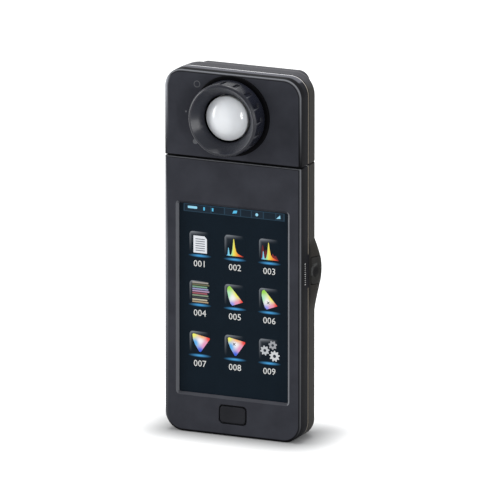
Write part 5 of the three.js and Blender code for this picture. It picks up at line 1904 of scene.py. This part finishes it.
BAR_COLOURS: tuple[Colour, ...] = (
    (0.36, 0.33, 0.29), (0.14, 0.13, 0.06), (0.2, 0.36, 0.24), (0.3, 0.3, 0.5), (0.42, 0.28, 0.42),
    (0.34, 0.1, 0.12), (0.24, 0.3, 0.2), (0.05, 0.05, 0.05), (0.5, 0.46, 0.34), (0.4, 0.3, 0.18),
)
CYAN: Colour = (0.1, 0.5, 0.78)
PALE_BLUE: Colour = (0.3, 0.66, 0.85)


def between(stops: Sequence[tuple[float, Colour]], place: float) -> Colour:
    """The colour at a place along a row of colour stops.

    Args:
        stops: The stops, each a place and a colour.
        place: The place, held within the first and last stop.

    Returns:
        The colour.
    """
    held = min(max(place, stops[0][0]), stops[-1][0])
    for (start, low), (end, high) in pairwise(stops):
        if held <= end:
            share = (held - start) / (end - start)
            return tuple(a + (b - a) * share for a, b in zip(low, high))
    return stops[-1][1]


def plain(*colour: float) -> Paint:
    """A paint of one colour."""
    return lambda _point: colour


@dataclass
class Screen:
    """The touch panel and what it shows: a status bar and nine plain icons with numbers."""

    case: Case
    columns: tuple[float, ...] = (-18.3, 0.5, 18.9)
    rows: tuple[float, ...] = (95.5, 70.6, 45.0)
    tile: float = 5.5
    glow_drop: float = 6.1
    glow_half: Pair = (6.4, 0.95)
    number_drop: float = 10.3
    number_size: float = 4.6
    bar_z: float = 113.2
    front_depth: float = 1.9
    plate: float = 0.02
    plate_step: float = 0.024
    sunk: float = 0.004
    layers: list[BMesh] = field(default_factory=list)

    @property
    def front(self) -> float:
        """The Y of the panel's front."""
        return self.case.y(self.front_depth)

    def panel(self) -> None:
        """The touch panel."""
        outline, chamfer, thickness = Section(31.4, 17.75, 117.85, 1.5, 1.5, 0.0), 0.1, 1.2
        path = [outline.grown(-chamfer, self.front)]
        path += [outline.grown(0.0, self.front + back) for back in (chamfer, thickness)]
        placed(lofted(path, 6, 6), "screen_panel", "body", GLASS, ["touch_panel"])

    def lay(self, mesh: BMesh, paint: Paint, layer: int) -> None:
        """Paints a flat mesh in XZ and keeps it as a thin plate on the panel.

        Args:
            mesh: A flat mesh at Y 0.
            paint: Gives the colour at a point.
            layer: Its place in the pile, 0 next to the panel.
        """
        out = bmesh.ops.extrude_face_region(mesh, geom=list(mesh.faces))
        bmesh.ops.translate(mesh, verts=new_part(out, BMVert), vec=(0, -self.plate, 0))
        moved(outward(mesh), y=self.front - self.plate_step * layer + self.sunk)
        painted(mesh, "tint", lambda point: (*paint(point), 1.0))
        self.layers.append(mesh)

    def sheet(
        self, x: float, z: float, half_x: float, half_z: float, cuts: int = 1, radius: float = 0.0
    ) -> BMesh:
        """A flat rectangle in XZ.

        Args:
            x: The X of its middle.
            z: The Z of its middle.
            half_x: Half its width.
            half_z: Half its height.
            cuts: How many faces it has in each direction.
            radius: The radius of its corners.

        Returns:
            The mesh.
        """
        mesh = bmesh.new()
        if radius > 0:
            flat_outline(mesh, Section(half_x, z - half_z, z + half_z, radius, radius, 0.0, x), 5, 5)
            for axis, middle, half in ((0, x, half_x * 0.98), (2, z, half_z * 0.98)):
                sliced(mesh, axis, evenly(middle - half, middle + half, cuts)[1:-1])
            return mesh
        bmesh.ops.create_grid(mesh, x_segments=cuts, y_segments=cuts, size=1.0)
        turned(mesh, QUARTER, "X")
        bmesh.ops.scale(mesh, verts=mesh.verts, vec=(half_x, 1.0, half_z))
        return moved(mesh, x, 0.0, z)

    def disc(self, x: float, z: float, half_x: float, half_z: float, rings: int = 6) -> BMesh:
        """A flat oval in XZ with rings of faces.

        Args:
            x: The X of its middle.
            z: The Z of its middle.
            half_x: Half its width.
            half_z: Half its height.
            rings: How many rings of faces it has.

        Returns:
            The mesh.
        """
        mesh = bmesh.new()
        made = bmesh.ops.create_circle(mesh, cap_ends=True, cap_tris=False, segments=32, radius=1.0)["verts"]
        face = made[0].link_faces[0]
        for i in range(1, rings):
            share, reach = 1 / (rings - i + 1), 1 - (i - 1) / rings
            bmesh.ops.inset_individual(mesh, faces=[face], thickness=reach * share, depth=0.0)
        turned(mesh, QUARTER, "X")
        bmesh.ops.scale(mesh, verts=mesh.verts, vec=(half_x, 1.0, half_z))
        return moved(mesh, x, 0.0, z)

    def polygon(self, x: float, z: float, points: Sequence[Pair], cuts: int = 1) -> BMesh:
        """A flat polygon in XZ, cut across for a gradient.

        Args:
            x: The X that its corners are counted from.
            z: The Z that its corners are counted from.
            points: Its corners.
            cuts: How many slices it has in each direction.

        Returns:
            The mesh.
        """
        mesh = bmesh.new()
        verts = [bmesh.ops.create_vert(mesh, co=(x + dx, 0.0, z + dz))["vert"][0] for dx, dz in points]
        edges = [mesh.edges.new(pair) for pair in zip(verts, verts[1:] + verts[:1])]
        bmesh.ops.edgenet_fill(mesh, edges=edges)
        bmesh.ops.triangulate(mesh, faces=mesh.faces)
        for axis, start, places in zip((0, 2), (x, z), zip(*points)):
            sliced(mesh, axis, evenly(start + min(places), start + max(places), cuts)[1:-1])
        return mesh

    def number(self, text: str, x: float, z: float) -> None:
        """A plain number on the screen.

        Args:
            text: Its digits.
            x: The X of its middle.
            z: The Z of its middle.
        """
        curve = bpy.data.curves.new("digits", "FONT")
        curve.body = text
        curve.size = self.number_size
        curve.align_x = "CENTER"
        curve.align_y = "CENTER"
        curve.resolution_u = 2
        holder = linked("digits", curve)
        depsgraph = bpy.context.evaluated_depsgraph_get()
        data = bpy.data.meshes.new_from_object(holder.evaluated_get(depsgraph))
        mesh = bmesh.new()
        mesh.from_mesh(data)
        bpy.data.objects.remove(holder)
        bpy.data.meshes.remove(data)
        self.lay(moved(turned(mesh, QUARTER, "X"), x, 0.0, z), plain(0.72, 0.72, 0.7), 2)

    def status_bar(self) -> None:
        """The bar along the top of the screen."""
        z = self.bar_z
        self.lay(self.sheet(0.0, z, 27.0, 1.95), plain(0.018, 0.04, 0.062), 1)
        fields = (
            (-26.4, -12.6), (-12.0, -5.4), (-4.8, 3.2), (3.8, 9.0), (9.6, 15.4), (16.0, 22.0), (22.6, 26.4),
        )
        for i, (left, right) in enumerate(fields):
            shade = 0.006 if i % 2 else 0.009
            mesh = self.sheet((left + right) / 2, z, (right - left) / 2, 1.6)
            self.lay(mesh, plain(shade, shade * 1.5, shade * 2.2), 2)
        leaning = ((-0.8, -0.7), (1.4, -0.4), (1.8, 1.0), (-0.2, 0.8))
        corner = ((22.6, -1.0), (24.8, -0.8), (24.6, 1.0))
        signs = (
            (self.sheet(-22.2, z + 0.3, 2.5, 0.6, radius=0.3), PALE_BLUE),
            (self.sheet(-16.0, z + 0.1, 0.4, 0.8), CYAN),
            (self.sheet(-11.4, z + 0.1, 0.4, 0.8), CYAN),
            (self.polygon(0.0, z, leaning), CYAN),
            (self.disc(12.2, z, 0.75, 0.75, 2), PALE_BLUE),
            (self.polygon(0.0, z, corner), PALE_BLUE),
        )
        for mesh, colour in signs:
            self.lay(mesh, plain(*colour), 3)

    def gleam(self, x: float, z: float, point: Vector) -> Colour:
        """The light on an icon's tile, which is brightest along its upper left edges.

        Args:
            x: The X of the tile's middle.
            z: The Z of the icon's middle.
            point: The point.

        Returns:
            The colour.
        """
        edge_level, edge_fall, edge_length = 0.16, 9, 1.1
        body_level, body_fall = 0.03, 1.5
        along = (point.x - x + self.tile) / (2 * self.tile)
        down = (z + self.tile - point.z) / (2 * self.tile)
        near, far = min(along, down), max(along, down)
        edge = max(1 - edge_fall * near, 0.0) * max(1 - edge_length * far, 0.0)
        level = edge_level * edge + body_level * max(1 - body_fall * (along + down), 0.0)
        return (level, level * 1.06, level * 1.15)

    def glow(self, x: float, z: float, point: Vector) -> Colour:
        """The blue light under an icon's tile.

        Args:
            x: The X of the light's middle.
            z: The Z of the light's middle.
            point: The point.

        Returns:
            The colour.
        """
        half_x, half_z = self.glow_half
        level = max(1 - math.hypot((point.x - x) / half_x, (point.z - z) / half_z), 0.0) ** 1.3
        return (0.08 * level, 0.42 * level, 0.85 * level)

    def tile_at(self, x: float, z: float) -> None:
        """The dark tile of an icon, lit at its top left corner, and the blue glow under it.

        Args:
            x: The X of its middle.
            z: The Z of its middle.
        """
        low = z - self.glow_drop
        self.lay(self.sheet(x, z + 0.5, self.tile, self.tile, 16, 1.6), partial(self.gleam, x, z), 1)
        self.lay(self.disc(x, low, *self.glow_half), partial(self.glow, x, low), 2)

    def lines(self, x: float, z: float) -> None:
        """A white sheet with grey lines.

        Args:
            x: The X of its middle.
            z: The Z of its middle.
        """
        corners = ((-3.6, -4.3), (3.6, -4.3), (3.6, 2.9), (2.3, 4.3), (-3.6, 4.3))
        self.lay(self.polygon(x, z, corners), plain(0.76, 0.78, 0.82), 3)
        for i in range(6):
            self.lay(self.sheet(x, z + 2.7 - i * 1.15, 2.5, 0.2), plain(0.1, 0.11, 0.13), 4)

    def peaks(self, x: float, z: float, extra: bool) -> None:
        """A small and a tall peak in the colours of a rainbow.

        Args:
            x: The X of its middle.
            z: The Z of its foot.
            extra: Whether a dark red line of peaks stands behind.
        """
        if extra:
            line = ((-4.6, 0.0), (-4.2, 6.2), (-3.6, 7.4), (-2.8, 3.6), (-1.8, 5.2), (-0.8, 0.0))
            self.lay(self.polygon(x, z, line, 6), plain(0.13, 0.015, 0.012), 3)
            tail = ((0.4, 0.0), (1.4, 3.4), (2.4, 2.2), (3.2, 2.4), (4.8, 0.0))
            self.lay(self.polygon(x, z, tail, 6), plain(0.2, 0.02, 0.015), 3)
        tall = (
            (-2.6, 0.0), (-1.8, 1.2), (-1.3, 3.4), (-0.8, 8.6), (-0.5, 8.6), (0.1, 4.6), (0.7, 2.4),
            (1.6, 1.3), (2.6, 0.9), (3.6, 0.4), (4.8, 0.0),
        )
        small = ((-4.6, 0.0), (-3.9, 0.8), (-3.6, 4.0), (-3.3, 4.0), (-2.9, 1.0), (-2.3, 0.0))
        start, length = x - 4.6, 9.4
        for outline in (tall, small):
            mesh = self.polygon(x, z, outline, 8)
            self.lay(mesh, lambda point: between(RAINBOW, (point.x - start) / length), 4)

    def bars(self, x: float, z: float) -> None:
        """A pile of pale coloured bars of uneven length.

        Args:
            x: The X of its middle.
            z: The Z of its middle.
        """
        for i, colour in enumerate(BAR_COLOURS):
            reach = 8.5 + 0.6 * math.sin(i * 2.1)
            mesh = self.sheet(x - 4.4 + reach / 2, z + 4.9 - i * 1.08, reach / 2, 0.36)
            self.lay(mesh, plain(*colour), 3)

    def patch(self, patch: Patch, x: float, z: float, cross: Pair | None = None) -> None:
        """A patch, with a small dark cross on it where one stands.

        Args:
            patch: The patch.
            x: The X of the icon's middle.
            z: The Z of the icon's middle.
            cross: Where the cross stands, from the icon's middle.
        """
        self.lay(self.polygon(x, z, patch.outline, 12), partial(patch.colour_at, x, z), 3)
        for layer, slope in ((4, -1), (5, 1)) if cross else ():
            arm = self.sheet(0.0, 0.0, 0.95, 0.16)
            moved(turned(arm, slope * QUARTER / 2, "Y"), x + cross[0], 0.0, z + cross[1])
            self.lay(arm, plain(0.02, 0.02, 0.025), layer)

    def gear(self, x: float, z: float, radius: float, teeth: int, colour: Colour) -> None:
        """A flat gear wheel.

        Args:
            x: The X of its middle.
            z: The Z of its middle.
            radius: Its outer radius.
            teeth: How many teeth it has.
            colour: Its colour.
        """
        root, hole = radius * 0.74, radius * 0.3
        points = []
        for i in range(teeth * 4):
            reach = radius if i % 4 in (0, 1) else root
            angle = 2 * math.pi * (i + 0.5) / (teeth * 4)
            points.append((reach * math.cos(angle), reach * math.sin(angle)))
        self.lay(self.polygon(x, z, points), plain(*colour), 3)
        self.lay(self.disc(x, z, hole, hole, 1), plain(0.02, 0.022, 0.026), 4)

    def show(self) -> None:
        """Everything that the screen shows."""
        self.status_bar()
        (left, middle, right), (high, centre, low) = self.columns, self.rows
        places = [(x, z) for z in self.rows for x in self.columns]
        for x, z in places:
            self.tile_at(x, z)
        self.lines(left + 0.2, high - 0.4)
        self.peaks(middle, high - 4.4, False)
        self.peaks(right + 0.2, high - 4.4, True)
        self.bars(left + 0.4, centre + 0.3)
        self.patch(LEAF, middle + 0.2, centre)
        self.patch(LEAF, right + 0.2, centre, (-0.8, -1.2))
        self.patch(WEDGE, left, low)
        self.patch(WEDGE, middle + 0.2, low, (-0.6, 1.6))
        self.gear(right - 2.4, low + 0.2, 2.5, 8, (0.5, 0.52, 0.54))
        self.gear(right + 1.8, low + 3.2, 2.3, 7, (0.34, 0.35, 0.37))
        self.gear(right + 2.8, low - 2.2, 2.8, 9, (0.62, 0.63, 0.64))
        for count, (x, z) in enumerate(places, 1):
            self.number(f"{count:03d}", x, z - self.number_drop)
        mesh = joined(self.layers)
        placed(mesh, "screen_picture", "body", PIXELS, sharp=30.0)

    def build(self) -> None:
        """Builds the panel and its picture."""
        self.panel()
        self.show()


@dataclass
class SideScale:
    """The printed ticks beside the measuring button."""

    case: Case
    low: float = 79.7
    high: float = 90.1
    depth: float = 5.3
    count: int = 11
    long_every: int = 5
    lengths: Pair = (0.75, 0.5)
    half_width: float = 0.16
    sunk: float = 0.01
    proud: float = 0.03

    def build(self) -> None:
        """Builds the ticks."""
        side, y, wide = self.case.half, self.case.y(self.depth), self.half_width
        parts = []
        for i, z in enumerate(evenly(self.low, self.high, self.count - 1)):
            half = self.lengths[i % self.long_every != 0]
            low, high = (side - self.sunk, y - half, z - wide), (side + self.proud, y + half, z + wide)
            parts.append(block(low, high))
        placed(joined(parts), "side_scale", "body", PRINT)


# Studio


@dataclass
class Studio:
    """The floor, the soft lights, the world and the photograph's camera."""

    azimuth: float = 23.95
    elevation: float = 14.317
    distance: float = 6000.0
    focal_px: float = 12263.5
    image_px: float = 500.0
    sensor: float = 36.0
    clip: Pair = (0.05, 60.0)
    aim: tuple[float, float, float] = (0.0, -4.5, 91.5)
    right_shift: float = 4.918
    up_shift: float = 0.997
    air_colour: Tone = (0.94, 0.97, 1.0, 1.0)
    air_strength: float = 0.6
    floor_radius: float = 9.0
    floor_colour: Tone = (0.38, 0.38, 0.38, 1.0)
    # The floor's white glow fades out within this span of the footprint, a painted shadow round the object's
    # foot.
    footprint: Pair = (0.032, 0.01)
    shadow_span: Pair = (-0.004, 0.034)
    floor_glow: float = 0.9
    lamp_aim: tuple[float, float, float] = (0.0, 0.0, 0.1)

    def camera(self) -> None:
        """Puts the camera where the photograph was taken from."""
        azimuth, elevation = math.radians(self.azimuth), math.radians(self.elevation)
        level = math.cos(elevation)
        back = Vector((math.sin(azimuth) * level, -math.cos(azimuth) * level, math.sin(elevation)))
        right = Vector((math.cos(azimuth), math.sin(azimuth), 0.0))
        up = back.cross(right)
        place = Vector(self.aim) + back * self.distance + right * self.right_shift + up * self.up_shift
        data = bpy.data.cameras.new("camera")
        data.sensor_width = self.sensor
        data.lens = self.sensor * self.focal_px / self.image_px
        data.clip_start, data.clip_end = self.clip
        camera = linked("camera", data)
        camera.location = place * METRES
        camera.rotation_euler = back.to_track_quat("Z", "Y").to_euler()
        bpy.context.scene.camera = camera

    def seen(self, tree: NodeTree) -> NodeSocket:
        """A value that is 1 for rays that show the background and 0 for rays that light the object.

        Args:
            tree: The tree that gets the nodes.

        Returns:
            The value.
        """
        rays = add_node(tree, "LightPath", {}).outputs
        seen = math_of(tree, "MAXIMUM", rays["Is Camera Ray"], rays["Is Glossy Ray"])
        return math_of(tree, "MAXIMUM", seen, rays["Is Transmission Ray"])

    def world(self) -> None:
        """A white world that lights the object only softly."""
        world = bpy.data.worlds.new("studio_air")
        bpy.context.scene.world = world
        world.use_nodes = True
        tree = world.node_tree
        shown = tree.nodes["Background"]
        feed(tree, shown, {"Color": WHITE, "Strength": 1.0})
        lighting = add_node(tree, "Background", {"Color": self.air_colour, "Strength": self.air_strength})
        shares = {"Fac": self.seen(tree), 1: lighting.outputs["Background"], 2: shown.outputs["Background"]}
        mix = add_node(tree, "MixShader", shares)
        feed(tree, tree.nodes["World Output"], {"Surface": mix.outputs["Shader"]})

    def clearance(self, tree: NodeTree) -> NodeSocket:
        """The distance of a point of the floor from the object's footprint.

        Args:
            tree: The tree that gets the nodes.

        Returns:
            The distance in metres.
        """
        place = add_node(tree, "TexCoord", {}).outputs["Object"]
        reach = (*self.footprint, 0.0)
        for operation, inputs in (("ABSOLUTE", {}), ("SUBTRACT", {1: reach}), ("MAXIMUM", {})):
            place = add_node(tree, "VectorMath", {0: place, **inputs}, operation=operation).outputs["Vector"]
        return add_node(tree, "VectorMath", {0: place}, operation="LENGTH").outputs["Value"]

    def floor(self) -> None:
        """A pale floor that keeps the object's soft shadow and glows white away from the object; its glow
        fades out round the footprint, a painted shadow there.
        """
        mesh = bmesh.new()
        bmesh.ops.create_circle(mesh, cap_ends=True, segments=96, radius=self.floor_radius)
        plane = linked("floor", poured(mesh, "floor"))
        material = bpy.data.materials.new("pale_floor")
        tree, shader = shader_of(material)
        near, far = self.shadow_span
        # Painted shadow: the glow rises from nothing at the footprint to full white further away.
        rise = add_node(tree, "MapRange", {
            "From Min": near, "From Max": far, "To Min": 0.0, "To Max": self.floor_glow,
            "Value": self.clearance(tree),
        }, interpolation_type="SMOOTHSTEP")
        feed(tree, shader, {
            "Base Color": self.floor_colour,
            "Roughness": 0.9,
            "Specular IOR Level": 0.0,
            "Emission Color": WHITE,
            "Emission Strength": math_of(tree, "MULTIPLY", self.seen(tree), rise.outputs["Result"]),
        })
        plane.data.materials.append(material)

    def lamp(self, name: str, place: Vector, size: Pair, power: float) -> None:
        """A soft rectangular lamp that looks at the object.

        Args:
            name: Its name.
            place: Where it stands, in metres.
            size: Its width and height, in metres.
            power: Its power in watts.
        """
        data = bpy.data.lights.new(name, "AREA")
        data.shape = "RECTANGLE"
        data.size, data.size_y = size
        data.energy = power
        lamp = linked(name, data)
        lamp.location = place
        lamp.rotation_euler = (place - Vector(self.lamp_aim)).to_track_quat("Z", "Y").to_euler()

    def build(self) -> None:
        """Builds the studio."""
        self.camera()
        self.world()
        self.floor()
        self.lamp("overhead", Vector((-0.05, 0.14, 1.2)), (0.6, 0.5), 9.5)
        self.lamp("left_box", Vector((-0.95, -0.3, 0.32)), (0.45, 0.6), 8.0)
        self.lamp("front_strip", Vector((0.66, -0.72, 0.24)), (0.07, 0.4), 2.4)
        self.lamp("right_box", Vector((0.98, -0.2, 0.26)), (0.16, 0.5), 2.9)
        bpy.context.scene.view_settings.view_transform = "Standard"


def dress_carried_nodes() -> None:
    """Gives every CAD node that still shows the finish of its slot."""
    slots = {part["node"]: part["material_slot"] for part in frame["record"]["subparts"]}
    for name, node in frame["nodes"].items():
        node.data.materials.clear()
        node.data.materials.append(SLOT_FINISHES[slots[name]].material())


def main() -> None:
    """Builds the studio and every piece of the meter."""
    logging.basicConfig(level=logging.INFO, format="%(name)s: %(message)s")
    Studio().build()
    case = Case()
    body = Body(case)
    dress_carried_nodes()
    for assembly in (
        body, Keys(case, body), SidePorts(case, body), Head(replace(case, head=True)), Receptor(case),
        Screws(case), Screen(case), SideScale(case),
    ):
        assembly.build()
        log.info("%s is built", type(assembly).__name__)


if __name__ == "__main__":
    main()
